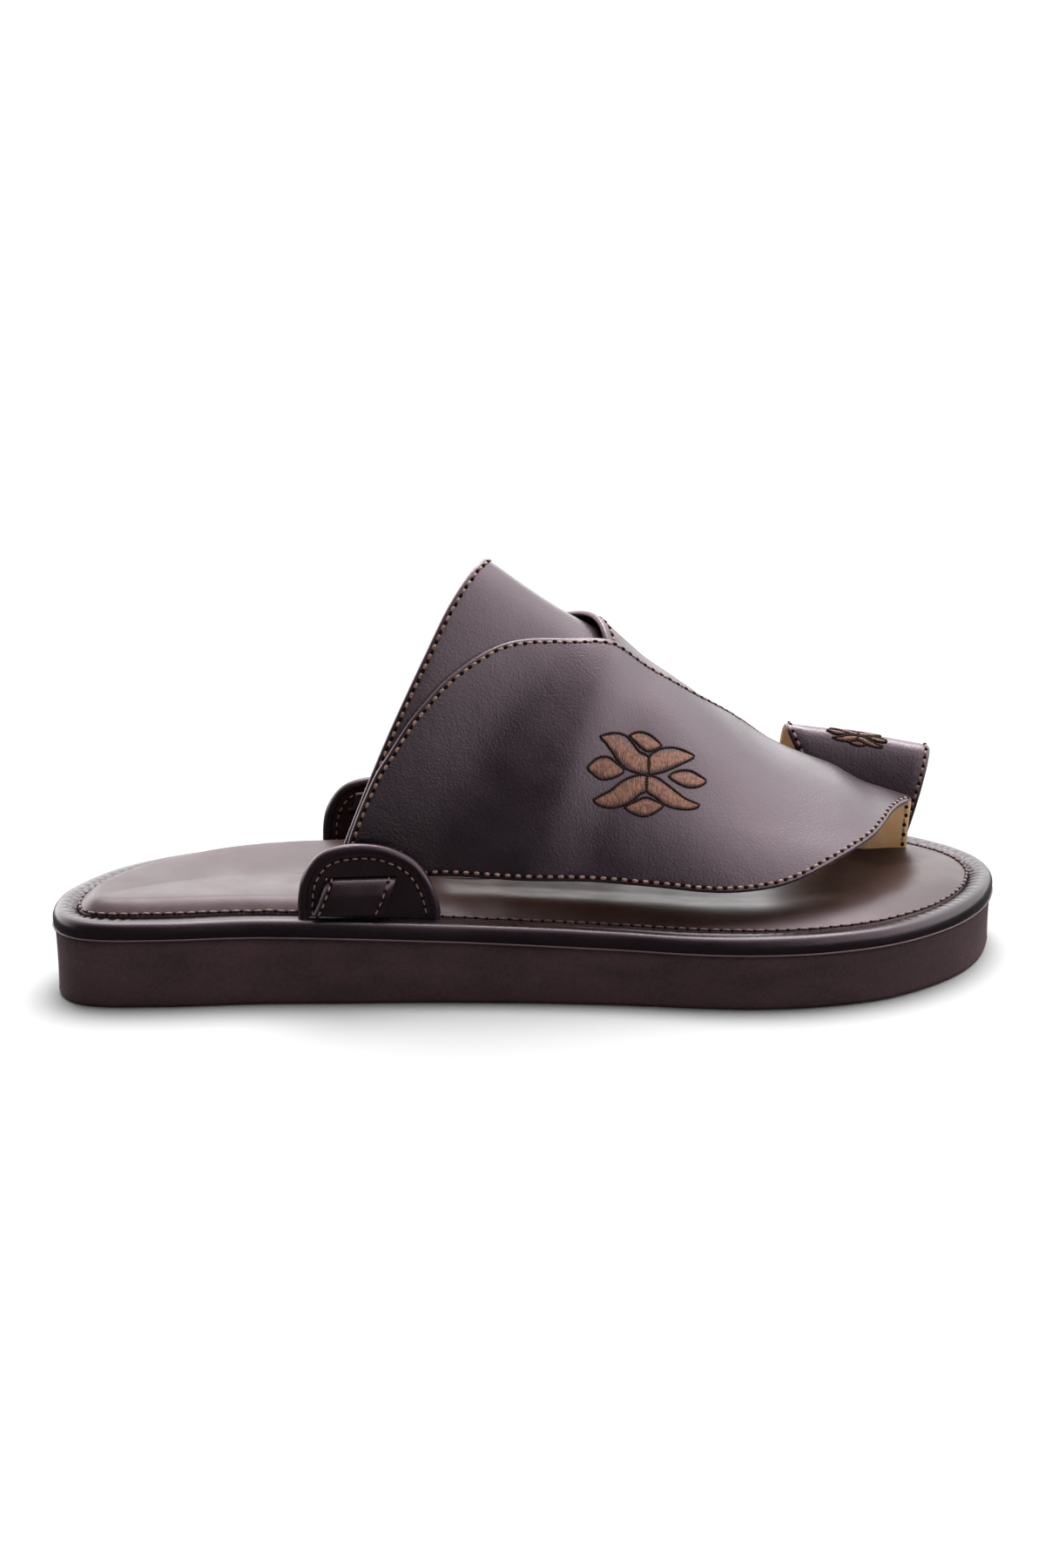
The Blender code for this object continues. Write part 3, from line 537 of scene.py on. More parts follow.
def foam_finish():
    """Matt burgundy foam, freckled and cloudy."""
    finish, tree, shader = new_finish("foam")
    freckles = noise(tree, FRECKLE, 6.0)
    clouds = noise(tree, CLOUD, 3.0, (1, 1, 2.5))
    spread = calculated(tree, "MULTIPLY_ADD", freckles, FRECKLE_WEIGHT, clouds)
    share = clipped(tree, spread, 0.55, 1.05)
    shaded(tree, shader, {
        "Base Color": blend_of(tree, share, FOAM_DARK, FOAM_LIGHT),
        "Roughness": 0.85, "Specular IOR Level": 0.30,
    })
    bumped(tree, shader, freckles, FRECKLE_DEPTH)
    return finish


FOAM = foam_finish()

# %% [markdown]
# The seams are sewn in waxed thread, pinkish brown on the upper and tan on the lining, and the
# embroidery in flat satin thread. The twist of a thread is too fine to model, so a fine noise
# paints the light and shade of its twist as bands. The same finish, almost black, paints the
# shade in each hole the needle made.

# %% Thread finishes
THREAD_SHINE = 0.05


def thread(name, dark, light, rough=0.5, twist=0.0011, stretch=(1, 1, 1), sheen=0.25):
    """Waxed thread, with the light and shade of its twist painted as fine bands."""
    finish, tree, shader = new_finish(name)
    # Painted light and shade: fine noise bands stand in for the relief of the twist.
    share = clipped(tree, noise(tree, twist, 3.0, stretch), 0.35, 0.65)
    shaded(tree, shader, {
        "Base Color": blend_of(tree, share, dark, light), "Roughness": rough,
        "Specular IOR Level": THREAD_SHINE + sheen, "Sheen Weight": sheen,
        "Sheen Roughness": 0.4,
    })
    return finish


WING_THREAD = thread("wing thread", (0.110, 0.055, 0.042), (0.300, 0.165, 0.125))
TAN_THREAD = thread("tan thread", (0.400, 0.230, 0.120), (0.700, 0.480, 0.300))
DARK_THREAD = thread("dark thread", (0.006, 0.003, 0.002), (0.020, 0.009, 0.007), sheen=0.0)
INSOLE_THREAD = thread("insole thread", (0.040, 0.016, 0.016), (0.105, 0.048, 0.044))
SATIN = thread("satin thread", (0.080, 0.030, 0.018), (0.270, 0.120, 0.078), 0.42, 0.0007,
               (1, 1, 0.12))
# Painted shade: an almost black finish for the bodies that stand for the shade in each needle's
# hole.
HOLE_SHADE = thread("needle hole shade", (0.004, 0.002, 0.002), (0.008, 0.005, 0.005), 0.9, sheen=0.0)

# %% [markdown]
# Most pieces here are skins over closed loops, or sheets cut to an outline. These helpers
# turn their points and faces into finished pieces, with the faces pointing outwards, hang each
# piece on the frame's body and hide the solid it stands for.

# %% Helpers for pieces
MERGE_DISTANCE = 1e-7


def add_to_scene(name, data):
    """An object in the scene for a mesh, a lamp or a camera."""
    thing = bpy.data.objects.new(name, data)
    bpy.context.collection.objects.link(thing)
    return thing


def make_piece(name, points, faces, finishes, kinds=None):
    """An object from points and faces; kinds says which finish each face takes."""
    mesh = bpy.data.meshes.new(name)
    mesh.from_pydata([tuple(p) for p in points], [], [tuple(int(i) for i in f) for f in faces])
    if kinds is not None:
        mesh.polygons.foreach_set("material_index", np.asarray(kinds, np.int32))
    for finish in finishes:
        mesh.materials.append(finish)
    shape = bmesh.new()
    shape.from_mesh(mesh)
    bmesh.ops.remove_doubles(shape, verts=shape.verts, dist=MERGE_DISTANCE)
    bmesh.ops.recalc_face_normals(shape, faces=shape.faces)
    shape.to_mesh(mesh)
    shape.free()
    mesh.shade_smooth()
    print(name, len(mesh.polygons), "faces")
    return add_to_scene(name, mesh)


def belongs(piece, node):
    """Hangs the piece on the frame's root body and hides the solid it stands for."""
    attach(piece, "root")
    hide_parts(node)
    return piece


def skin(loops, closed_over):
    """Faces over a stack of closed loops, joined to a ring or capped at both ends."""
    count, levels = len(loops[0]), len(loops)
    faces = []
    for level in range(levels if closed_over else levels - 1):
        low, high = level * count, (level + 1) % levels * count
        faces += [(low + i, low + (i + 1) % count, high + (i + 1) % count, high + i)
                  for i in range(count)]
    if not closed_over:
        faces += [tuple(range(count)), tuple(range((levels - 1) * count, levels * count))]
    return faces


def edge_loop(inset_by, height):
    """The sole's outline moved inwards, at a height."""
    flat = LOOP - NORMALS * np.reshape(inset_by, (-1, 1))
    return np.column_stack([flat, np.broadcast_to(height, len(flat))])

# %% [markdown]
# The outsole is one slab. Its side is skinned from the sole's outline at several heights,
# with the lower edge rounded by the cutter, and a very slight waviness, because a knife led
# by hand never runs quite straight.

# %% Outsole
def wavy(amount, waves, phase):
    """A slow wander along the sole's edge."""
    return amount * np.sin(2 * np.pi * waves * LOOP_ALONG / LOOP_LENGTH + phase)


EDGE_ROUND = 0.0014
SIDE_BULGE = 0.0002
TOP_INSET = 0.004
ROUND_STEPS = 6
SIDE_STEPS = 8
SLOW_WANDER = (0.00018, 7, 0.4)
QUICK_WANDER = (0.00010, 17, 1.9)
wander = wavy(*SLOW_WANDER) + wavy(*QUICK_WANDER)
loops = []
for turn in np.linspace(0, 0.5 * np.pi, ROUND_STEPS):
    loops.append(edge_loop(EDGE_ROUND * (1 - np.sin(turn)) + wander * np.sin(turn),
                           EDGE_ROUND * (1 - np.cos(turn))))
top = foam_top(LOOP[:, 0])
for share in np.linspace(0.12, 1.0, SIDE_STEPS):
    loops.append(edge_loop(wander * (1 - share) + SIDE_BULGE * np.sin(np.pi * share), top * share))
loops.append(edge_loop(TOP_INSET, top))
outsole = make_piece("foam_outsole", np.vstack(loops), skin(loops, False), [FOAM])
belongs(outsole, "outsole")

# %% [markdown]
# The rand is a strip of leather rolled over a cord. Where it turns round the heel and the
# toe its inner side has to get shorter, so the leather gathers there in small pleats. The
# pleats are pressed in here as a wave along the edge that is strong only where the edge
# turns and only on the inner shoulder of the roll.

# %% Rand
PLEAT_PITCH = 0.0034
PLEAT_DEPTH = 0.00022
PLEAT_ON_STRAIGHTS = 0.12
GENTLE_BEND = 7.0
SHARP_BEND = 16.0
BEND_SPREAD = 60
PLEAT_SEED = 11
UNEVEN_OVER = 25
UNEVEN = 0.3
RAND_WANDER = (0.00012, 9)


def edge_turn():
    """How sharply the sole's edge turns, from 0 on the straight sides to 1 at the ends."""
    heading = np.unwrap(np.arctan2(AHEAD[:, 1], AHEAD[:, 0]))
    bend = np.abs(np.gradient(heading) / np.gradient(LOOP_ALONG))
    kernel = np.hanning(BEND_SPREAD + 1)
    around = np.r_[bend[-BEND_SPREAD:], bend, bend[:BEND_SPREAD]]
    bend = np.convolve(around, kernel / kernel.sum(), "same")[BEND_SPREAD:-BEND_SPREAD]
    return smooth(bend, GENTLE_BEND, SHARP_BEND)


TURNING = edge_turn()
RAND_FOOT = foam_top(LOOP[:, 0]) + CLEARANCE
RAND_HALF = 0.5 * (RAND_WIDTH + RAND_PROUD)
RAND_RISE = RAND_HEIGHT - CLEARANCE
RAND_PROFILE = [
    # across, up: shares of half the width and of the height; outer side first
    (-0.90, 0.00), (-0.97, 0.10), (-1.00, 0.28), (-1.00, 0.46), (-0.97, 0.62),
    (-0.88, 0.78), (-0.74, 0.90), (-0.55, 0.97), (-0.30, 1.00), (0.00, 0.995),
    (0.25, 0.98), (0.46, 0.95), (0.62, 0.91), (0.76, 0.86), (0.90, 0.81), (0.99, 0.79),
    (1.00, 0.40), (1.00, 0.00),
]
rng = np.random.default_rng(PLEAT_SEED)
pleats = round(LOOP_LENGTH / PLEAT_PITCH)
jitter = np.convolve(rng.normal(size=len(LOOP)), np.hanning(UNEVEN_OVER), "same")
pleat = np.sin(2 * np.pi * pleats * LOOP_ALONG / LOOP_LENGTH + UNEVEN * jitter)
loops = []
for across, up in RAND_PROFILE:
    reach = smooth(across, -0.2, 0.5) * (1 - smooth(across, 0.93, 1.0))
    strength = PLEAT_ON_STRAIGHTS + (1 - PLEAT_ON_STRAIGHTS) * TURNING
    press = PLEAT_DEPTH * reach * strength * pleat
    lift = wavy(*RAND_WANDER, 1.0 + across) * smooth(up, 0.2, 0.7)
    loops.append(edge_loop(RAND_HALF - RAND_PROUD + across * RAND_HALF,
                           RAND_FOOT + up * RAND_RISE - press + lift))
rand = make_piece("rolled_rand", np.vstack(loops), skin(loops, True), [RAND_LEATHER])
belongs(rand, "rand")

# %% [markdown]
# The insole is a board with padding under polished leather. The padding makes a soft rim
# that rises from the seam, then falls into a shallow dish for the foot, and it is thicker and
# steeper under the heel. A mesh of rings from the seam to the middle line follows that form
# better than a grid would, and the rings lie closer near the seam, where the form turns most.

# %% Insole
INSOLE_RINGS = 46
INSOLE_EVERY = 3
RINGS_CLOSE_UP = 1.35
LAST_RING = 0.985
edge = (LOOP - NORMALS * (RAND_WIDTH + CLEARANCE))[::INSOLE_EVERY]
spine_x = np.clip(edge[:, 0], -0.5 * INSOLE_SPINE_LENGTH, 0.5 * INSOLE_SPINE_LENGTH)
outer_edge = LOOP[:LOOP[:, 0].argmax() + 1]
inner_edge = np.vstack([LOOP[LOOP[:, 0].argmax():], LOOP[:1]])[::-1]
middle = 0.5 * (np.interp(spine_x, outer_edge[:, 0], outer_edge[:, 1])
                + np.interp(spine_x, inner_edge[:, 0], inner_edge[:, 1]))
spine = np.column_stack([spine_x, middle])
loops = [np.column_stack([edge, foam_top(edge[:, 0]) + CLEARANCE])]
for share in np.linspace(0, 1, INSOLE_RINGS) ** RINGS_CLOSE_UP * LAST_RING:
    flat = edge + (spine - edge) * share
    loops.append(np.column_stack([flat, insole_top(flat[:, 0], flat[:, 1])]))
insole = make_piece("padded_insole", np.vstack(loops), skin(loops, False), [INSOLE_LEATHER])
belongs(insole, "insole")

# %% [markdown]
# A leather piece is cut from a flat hide, then bent. Here its cut edge is drawn on the tent
# instead, so that it lies where the real one does after bending. The curves of its tables are
# joined to one closed line, whose points are then spaced evenly in real millimetres.

# %% Cut edges
ROUND_WEIGHT = 4.0
JOIN_STEP = 0.04


def closed_cut(surface, curves, pitch):
    """A closed cut edge through several curves, with evenly spaced points."""
    line = np.vstack([dense(curve) for curve in curves])
    keep = np.r_[True, np.linalg.norm(np.diff(line, axis=0), axis=1) > 1e-6]
    line = line[keep]
    joins = []
    for start, end in zip(line, np.roll(line, -1, axis=0)):
        parts = max(1, int(np.linalg.norm((end - start) * (1, ROUND_WEIGHT)) / JOIN_STEP))
        joins += [start + (end - start) * k / parts for k in range(parts)]
    line = np.array(joins)
    rows = spaced(surface(*line.T), pitch, True)
    line = at_rows(line, rows, True)
    ahead = np.roll(line, -1, axis=0)
    area = 0.5 * (line[:, 0] * ahead[:, 1] - ahead[:, 0] * line[:, 1]).sum()
    return line if area > 0 else line[::-1]

# %% [markdown]
# The space inside a cut edge is filled with small triangles by a triangulation that keeps to
# given edges, because a grid alone would leave steps there. Three rows follow the cut edge
# closely, so that it can be rounded, and a loose grid fills the rest.

# %% Triangles inside a cut edge
EDGE_ROWS = (
    # how far in from the cut edge, share of the wall there
    (0.0, 0.45), (0.00022, 0.82), (0.00065, 1.0),
)
ROOM_TO_EDGE = 0.6


def inside_of(outline, spots):
    """Which spots lie inside a closed outline."""
    ahead = np.roll(outline, -1, axis=0)
    y, x = spots[:, 1:2], spots[:, 0:1]
    crosses = (outline[:, 1] > y) != (ahead[:, 1] > y)
    rise = np.where(crosses, ahead[:, 1] - outline[:, 1], 1.0)
    at = outline[:, 0] + (y - outline[:, 1]) / rise * (ahead[:, 0] - outline[:, 0])
    return np.count_nonzero(crosses & (at > x), axis=1) % 2 == 1


def filled(surface, outline, pitch):
    """Spots and triangles that fill an outline, and how far each face has closed there."""
    rows = [outline if inset_by == 0 else inset(surface, outline, inset_by)
            for inset_by, _ in EDGE_ROWS]
    weight = np.array([1, ROUND_WEIGHT])
    low, high = outline.min(axis=0), outline.max(axis=0)
    middle = 0.5 * (low + high)
    by_run, by_round, _ = slopes(surface, middle[None])
    run_step = pitch / np.linalg.norm(by_run)
    round_step = pitch / np.linalg.norm(by_round)
    runs, rounds = np.meshgrid(np.arange(low[0], high[0], run_step),
                               np.arange(low[1], high[1], round_step), indexing="ij")
    runs[:, 1::2] += 0.5 * run_step
    grid = np.column_stack([runs.ravel(), rounds.ravel()])
    grid = grid[inside_of(rows[-1], grid)]
    inner = rows[-1]
    gap = np.concatenate([
        np.linalg.norm((part[:, None] - inner) * weight, axis=2).min(axis=1)
        for part in np.array_split(grid, max(1, len(grid) // SPOTS_AT_ONCE))])
    grid = grid[gap > ROOM_TO_EDGE * run_step]
    spots = np.vstack([*rows, grid])
    count = len(outline)
    edges = [(k * count + i, k * count + (i + 1) % count)
             for k in range(len(rows)) for i in range(count)]
    cut = delaunay_2d_cdt([tuple(p) for p in spots * weight], edges, [], 0, 1e-7, True)
    flat = np.array([tuple(p) for p in cut[0]]) / weight
    tris = np.array([tuple(face) for face in cut[2]])
    tris = tris[inside_of(outline, flat[tris].mean(axis=1))]
    closing = np.ones(len(flat))
    for i, sources in enumerate(cut[3]):
        if sources and min(sources) < len(rows) * count:
            closing[i] = EDGE_ROWS[min(sources) // count][1]
    return flat, tris, closing

# %% [markdown]
# A sheet of leather is two such fillings. They stand off the tent by the layers under the
# piece and by its own wall, and close towards each other at the cut edge, so that the edge is
# rounded. The outside, the tan lining and the raw cut edge get three finishes. The cut edge's
# own paler brown is made paler still, as a painted highlight along the rim.

# %% Sheets of leather
def rim_of(tris):
    """The edges of a sheet of triangles that only one of them has."""
    pairs = dict.fromkeys(pair for a, b, c in tris.tolist() for pair in ((a, b), (b, c), (c, a)))
    return [(a, b) for a, b in pairs if (b, a) not in pairs]


def leather_sheet(name, surface, outline, pitch, lift, wall, finishes, turned=None):
    """A piece of leather; where turned says so its lining is hidden by the rolled edge."""
    flat, tris, closing = filled(surface, outline, pitch)
    middle = lift(*flat.T) + 0.5 * wall
    half = 0.5 * wall * closing
    below = stand_off(surface, flat, middle - half)
    above = stand_off(surface, flat, middle + half)
    shift = len(flat)
    rim = [(a, b, b + shift, a + shift) for a, b in rim_of(tris)]
    faces = [tuple(t + shift) for t in tris] + [tuple(t[::-1]) for t in tris] + rim
    under_kinds = np.ones(len(tris), int)
    if turned is not None:
        under_kinds[turned(*flat[tris].mean(axis=1).T)] = 0
    kinds = [0] * len(tris) + list(under_kinds) + [2] * len(rim)
    return make_piece(name, np.vstack([below, above]), faces, finishes, kinds)

# %% [markdown]
# The upper has three layers near its top. The instep band lies lowest, the inner wing comes
# over the ridge from the far side on top of it, and the outer wing covers both. Each wing's
# lift over the tent is worked out from what lies under it, so the leather steps down softly
# where the layer below ends. The inner wing's rear edge is rolled, and stands a little open.

# %% How the layers lie
LEATHER_WALL = 0.0019
LAYER = 0.0020
BAND_STEP = (1.85, 2.50)
WING_STEP = (4.80, 5.40)
WING_CLIMB = (1.20, 1.90)
WING_CLIMB_ROUND = (-0.52, -0.22)
CURL = 0.0016
CURL_MIDDLE = 0.01
CURL_ENDS = (0.05, 0.30)
CURL_PASSED_ON = 0.8
ROLL_WIDTH = 0.45
ROLL_ROUND = 0.45
SHEET_PITCH = 0.0014
ROLLED = dense(INNER_TOP)


def ahead_of_roll(run, around):
    """How far a spot lies, in run, ahead of the inner wing's rear edge."""
    return run - np.interp(-around, -ROLLED[:, 1], ROLLED[:, 0])


def rolled_under(run, around):
    """Where the inner wing's leather is turned under along its rear edge."""
    return (ahead_of_roll(run, around) < ROLL_WIDTH) & (np.abs(around) < ROLL_ROUND)


def curl(run, around):
    """How far the inner wing's rolled rear edge stands open, most at the ridge."""
    near = 1 - smooth(ahead_of_roll(run, around), 0.0, ROLL_WIDTH)
    return CURL * near * (1 - smooth(np.abs(around - CURL_MIDDLE), *CURL_ENDS))


def no_lift(run, around):
    """For leather that lies right on its arch."""
    return np.zeros(np.broadcast(run, around).shape)


def over_band(run):
    """One layer over the band, none ahead of it."""
    return LAYER * (1 - smooth(run, *BAND_STEP))


def inner_lift(run, around):
    """How the inner wing lies over the band."""
    return over_band(run) + curl(run, around)


def outer_lift(run, around):
    """How the outer wing lies over the band and the inner wing."""
    over_inner = smooth(around, *WING_CLIMB_ROUND) * smooth(run, *WING_CLIMB)
    over_inner = over_inner * (1 - smooth(run, *WING_STEP))
    return over_band(run) + (LAYER + CURL_PASSED_ON * curl(run, around)) * over_inner

# %% [markdown]
# With the tent, the cut edges and the lifts at hand, the band and the two wings differ only in
# their names and numbers, so one loop makes all three.

# %% Band and wings
OUTSIDE = [UPPER_LEATHER, LINING, RAW_EDGE_AND_HIGHLIGHT]
for name, curves, lift, turned in (
        ("instep_band", [BAND_REAR, BAND_FRONT], no_lift, None),
        ("inner_wing", [INNER_TOP, INNER_LOW], inner_lift, rolled_under),
        ("outer_wing", [OUTER_TOP, OUTER_FRONT, OUTER_LOW], outer_lift, None)):
    cut = closed_cut(tent, curves, SHEET_PITCH)
    sheet = leather_sheet(name, tent, cut, SHEET_PITCH, lift, LEATHER_WALL, OUTSIDE, turned)
    belongs(sheet, "upper")

# %% [markdown]
# The big toe's ring is a short strap bent over, with both ends in slots in the insole. It is
# the same kind of sheet on its own small arch, lined in the same tan leather.

# %% Toe ring
RING_PITCH = 0.0011


def ring_edge(run, reach):
    """One of the ring's two straight cut edges, from its outer to its inner side."""
    return [(run, around) for around in np.linspace(-reach, reach, 9)]


ring_cut = closed_cut(ring, [ring_edge(0.0, 1.0), ring_edge(2.0, 1.0)[::-1]], RING_PITCH)
toe_ring = leather_sheet("toe_loop", ring, ring_cut, RING_PITCH, no_lift, RING_WALL, OUTSIDE)
belongs(toe_ring, "toe_ring")

# %% [markdown]
# An ear is a tab of doubled leather whose edge is bound with a rolled piping. Both follow one
# half-moon outline in an upright plane, so its line, its inset and the tube of the piping are
# worked out flat, and only then put in their place beside the sole.

# %% Ear outline and piping
PIPING = 0.00165
PIPING_SIDES = 12


def ear_place(place):
    """The foot of an ear, on the foam's height plus its seat."""
    x, y = place[0] * SOLE_LENGTH, place[1] * SOLE_WIDTH
    return x, y, float(foam_top(x)) + EAR_SEAT


def ear_line(place):
    """The ear's outline from its rear foot over the top to its front foot."""
    x, _, z = ear_place(place)
    rows = dense(EAR_OUTLINE, 10)
    along = x + 0.5 * EAR_LENGTH * rows[:, 0]
    return np.column_stack([along, z + (SEAT_DEPTH + EAR_HEIGHT) * np.clip(rows[:, 1], 0, None)])


def beside(line):
    """Unit steps to the right of a flat line."""
    ahead = np.gradient(line, axis=0)
    aside = np.column_stack([ahead[:, 1], -ahead[:, 0]])
    return aside / np.linalg.norm(aside, axis=1)[:, None]


def planar_inset(line, distance):
    """A flat line moved to its right."""
    return line + distance * beside(line)


def swept(line, y, radius):
    """A tube along a line in the plane at y, closed at its ends."""
    loops = []
    turn = np.linspace(0, 2 * np.pi, PIPING_SIDES, endpoint=False)
    for spot, across in zip(line, beside(line)):
        plane = spot + np.outer(np.cos(turn) * radius, across)
        loops.append(np.column_stack([plane[:, 0], y + radius * np.sin(turn), plane[:, 1]]))
    return np.vstack(loops), skin(loops, False)

# %% [markdown]
# The panel of an ear is cut with its slot before it is doubled. The outline and the slot go
# into one triangulation, and the triangles in the slot are left out, which makes a clean hole
# without cutting one solid with another.

# %% Ears
EAR_PANEL = 0.0022
PANEL_UNDER_PIPING = 0.6
SLOT_STEPS = 24
SLOT_ROOM = 0.0001
SLOT_OPENS = 0.22
SLOT_SQUARENESS = 0.4
CUT_SCALE = 100
EAR_CREASE = np.radians(50)


def ear_slot(place):
    """A rounded slot in the ear, clockwise."""
    x, _, z = ear_place(place)
    middle = z + SEAT_DEPTH + SLOT_RISE
    reach = 0.5 * TAIL_WIDTH + SLOT_ROOM
    turn = np.linspace(0, 2 * np.pi, SLOT_STEPS, endpoint=False)
    squared = np.minimum(1, 1.25 * np.abs(np.cos(turn)) ** SLOT_SQUARENESS)
    across = np.sign(np.cos(turn)) * reach * squared
    up = SLOT_OPENS * SLOT_HEIGHT * np.sin(turn)
    return np.column_stack([x - SLOT_SHIFT + across, middle + up])


def make_ear(name, node, place):
    """An ear: two faces with a slot, joined at their edges, and piping round the top."""
    y = ear_place(place)[1]
    line = ear_line(place)
    outline = planar_inset(line, PANEL_UNDER_PIPING * PIPING)[3:-3]
    slot = ear_slot(place)
    spots = np.vstack([outline, slot])
    count, hole = len(outline), len(slot)
    edges = [(i, (i + 1) % count) for i in range(count)]
    edges += [(count + i, count + (i + 1) % hole) for i in range(hole)]
    cut = delaunay_2d_cdt([tuple(p) for p in spots * CUT_SCALE], edges, [], 0, 1e-6, False)
    flat = np.array([tuple(p) for p in cut[0]]) / CUT_SCALE
    tris = np.array([tuple(face) for face in cut[2]])
    centre = flat[tris].mean(axis=1)
    tris = tris[inside_of(outline, centre) & ~inside_of(slot, centre)]
    shift = len(flat)
    half = 0.5 * EAR_PANEL
    points = np.vstack([np.insert(flat, 1, y - half, axis=1), np.insert(flat, 1, y + half, axis=1)])
    faces = [tuple(t) for t in tris] + [tuple(t[::-1] + shift) for t in tris]
    faces += [(b, a, a + shift, b + shift) for a, b in rim_of(tris)]
    piping, piping_faces = swept(planar_inset(line, PIPING), y, PIPING)
    faces += [tuple(i + len(points) for i in face) for face in piping_faces]
    ear = make_piece(name, np.vstack([points, piping]), faces, [EAR_LEATHER])
    ear.data.set_sharp_from_angle(angle=EAR_CREASE)
    belongs(ear, node)


make_ear("outer_ear", "ear_outer", OUTER_EAR)
make_ear("inner_ear", "ear_inner", INNER_EAR)

# %% [markdown]
# A tail is the end of the upper, a strap that leaves the insole beside the ear, comes out
# through the slot and is sewn down on the ear's outside. It bends in one plane only, so one
# flat section is carried along a path in that plane.

# %% Tails through the ears
TAIL_STEPS = 43
TAIL_SHARE = 0.9
TAIL_SIDES_CLOSE = 0.6


def tail_line(place, side):
    """The tail's middle line and its normals; side is -1 for the outer ear."""
    x, y, z = ear_place(place)
    path = spline(TAIL_PATH, np.linspace(0, len(TAIL_PATH) - 1, TAIL_STEPS))
    out = y + side * path[:, 0] * EAR_THICKNESS
    up = z + SEAT_DEPTH + path[:, 1] * EAR_HEIGHT
    back = x - path[:, 2] * TAIL_WIDTH
    ahead = np.gradient(np.column_stack([out, up]), axis=0)
    ahead /= np.linalg.norm(ahead, axis=1)[:, None]
    normal = side * np.column_stack([np.zeros(len(out)), -ahead[:, 1], ahead[:, 0]])
    return np.column_stack([back, out, up]), normal


def make_tail(name, place, side):
    """A strap whose cut sides are a little rounded."""
    middle, normal = tail_line(place, side)
    half = 0.5 * TAIL_SHARE * LEATHER_WALL
    top = [(across, TAIL_SIDES_CLOSE if abs(across) == 0.5 else 1.0)
           for across in np.linspace(-0.5, 0.5, 9)]
    section = top + [(across, -close) for across, close in reversed(top)]
    loops = [np.array([spot + (across * TAIL_WIDTH, 0, 0) + face * half * out
                       for across, face in section])
             for spot, out in zip(middle, normal)]
    tail = make_piece(name, np.vstack(loops), skin(loops, False), [EAR_LEATHER])
    belongs(tail, "upper")


make_tail("outer_tail", OUTER_EAR, -1)
make_tail("inner_tail", INNER_EAR, 1)

# %% [markdown]
# Stitches and satin threads are hundreds of small alike bodies laid on the leather, which is
# what Geometry Nodes are for. Both trees start with the same inputs, turn a body along a
# direction with its back away from the leather and a little chance in its angle, and end by
# making the copies real and giving them their finish.

# %% Parts that the trees share
def new_socket(tree, name, kind, in_out="INPUT"):
    """A named input or output of a tree."""
    tree.interface.new_socket(name, in_out=in_out, socket_type="NodeSocket" + kind)


def output_of(node):
    """The output that the node's settings leave in use."""
    return next(s for s in node.outputs if s.enabled)


def attribute(tree, name, kind="FLOAT_VECTOR"):
    """An attribute of the points, read by name."""
    return output_of(add_node(tree, "GeometryNodeInputNamedAttribute", {"data_type": kind},
                              Name=name))


def laid_along(tree, ahead, wobble, seed):
    """A turn that lays a stitch along a direction, its back along the attribute up."""
    along = add_node(tree, "FunctionNodeAlignRotationToVector", {"axis": "X"}, Vector=ahead)
    upright = add_node(tree, "FunctionNodeAlignRotationToVector", {"axis": "Z", "pivot_axis": "X"},
                       Rotation=along.outputs["Rotation"], Vector=attribute(tree, "up"))
    turn = add_node(tree, "FunctionNodeRandomValue", {"data_type": "FLOAT"}, Seed=seed,
                    Min=calculated(tree, "MULTIPLY", wobble, -1.0), Max=wobble)
    angle = add_node(tree, "ShaderNodeCombineXYZ", Z=output_of(turn))
    by = add_node(tree, "FunctionNodeEulerToRotation", Euler=angle.outputs["Vector"])
    return add_node(tree, "FunctionNodeRotateRotation", {"rotation_space": "LOCAL"},
                    Rotation=upright.outputs["Rotation"], Rotate_By=by.outputs["Rotation"])


def finish_tree(tree, instances, finish):
    """Makes the instances real, smooth and of one finish, and hands them out."""
    real = add_node(tree, "GeometryNodeRealizeInstances", Geometry=instances)
    soft = add_node(tree, "GeometryNodeSetShadeSmooth", Geometry=real.outputs["Geometry"])
    done = add_node(tree, "GeometryNodeSetMaterial", Geometry=soft.outputs["Geometry"],
                    Material=finish)
    out = tree.nodes.new("NodeGroupOutput")
    tree.links.new(done.outputs["Geometry"], out.inputs["Geometry"])


def start_tree(name, numbers):
    """A tree with a mesh, some numbers, a seed and a finish as its inputs."""
    tree = bpy.data.node_groups.new(name, "GeometryNodeTree")
    new_socket(tree, "Geometry", "Geometry")
    for number in numbers:
        new_socket(tree, number, "Float")
    new_socket(tree, "Seed", "Int")
    new_socket(tree, "Finish", "Material")
    new_socket(tree, "Geometry", "Geometry", "OUTPUT")
    return tree, tree.nodes.new("NodeGroupInput").outputs

# %% [markdown]
# A lockstitch is one short length of thread after another, each dipping into its needle
# hole. The seam line becomes a curve, the curve is divided by the pitch, and a small rounded
# stitch is put at each point. The same tree puts dark bodies between the stitches, shifted by
# half a pitch, to paint the shade in each hole the needle made.

# %% Stitch tree
def stitch_body(tree, sizes):
    """A small rounded body of the wanted length, width and height."""
    ball = add_node(tree, "GeometryNodeMeshUVSphere", Segments=8, Rings=6, Radius=0.5)
    size = add_node(tree, "ShaderNodeCombineXYZ", X=sizes["Length"], Y=sizes["Width"],
                    Z=sizes["Height"])
    place = add_node(tree, "ShaderNodeCombineXYZ", X=sizes["Shift"])
    return add_node(tree, "GeometryNodeTransform", Geometry=ball.outputs["Mesh"],
                    Translation=place.outputs["Vector"], Scale=size.outputs["Vector"])


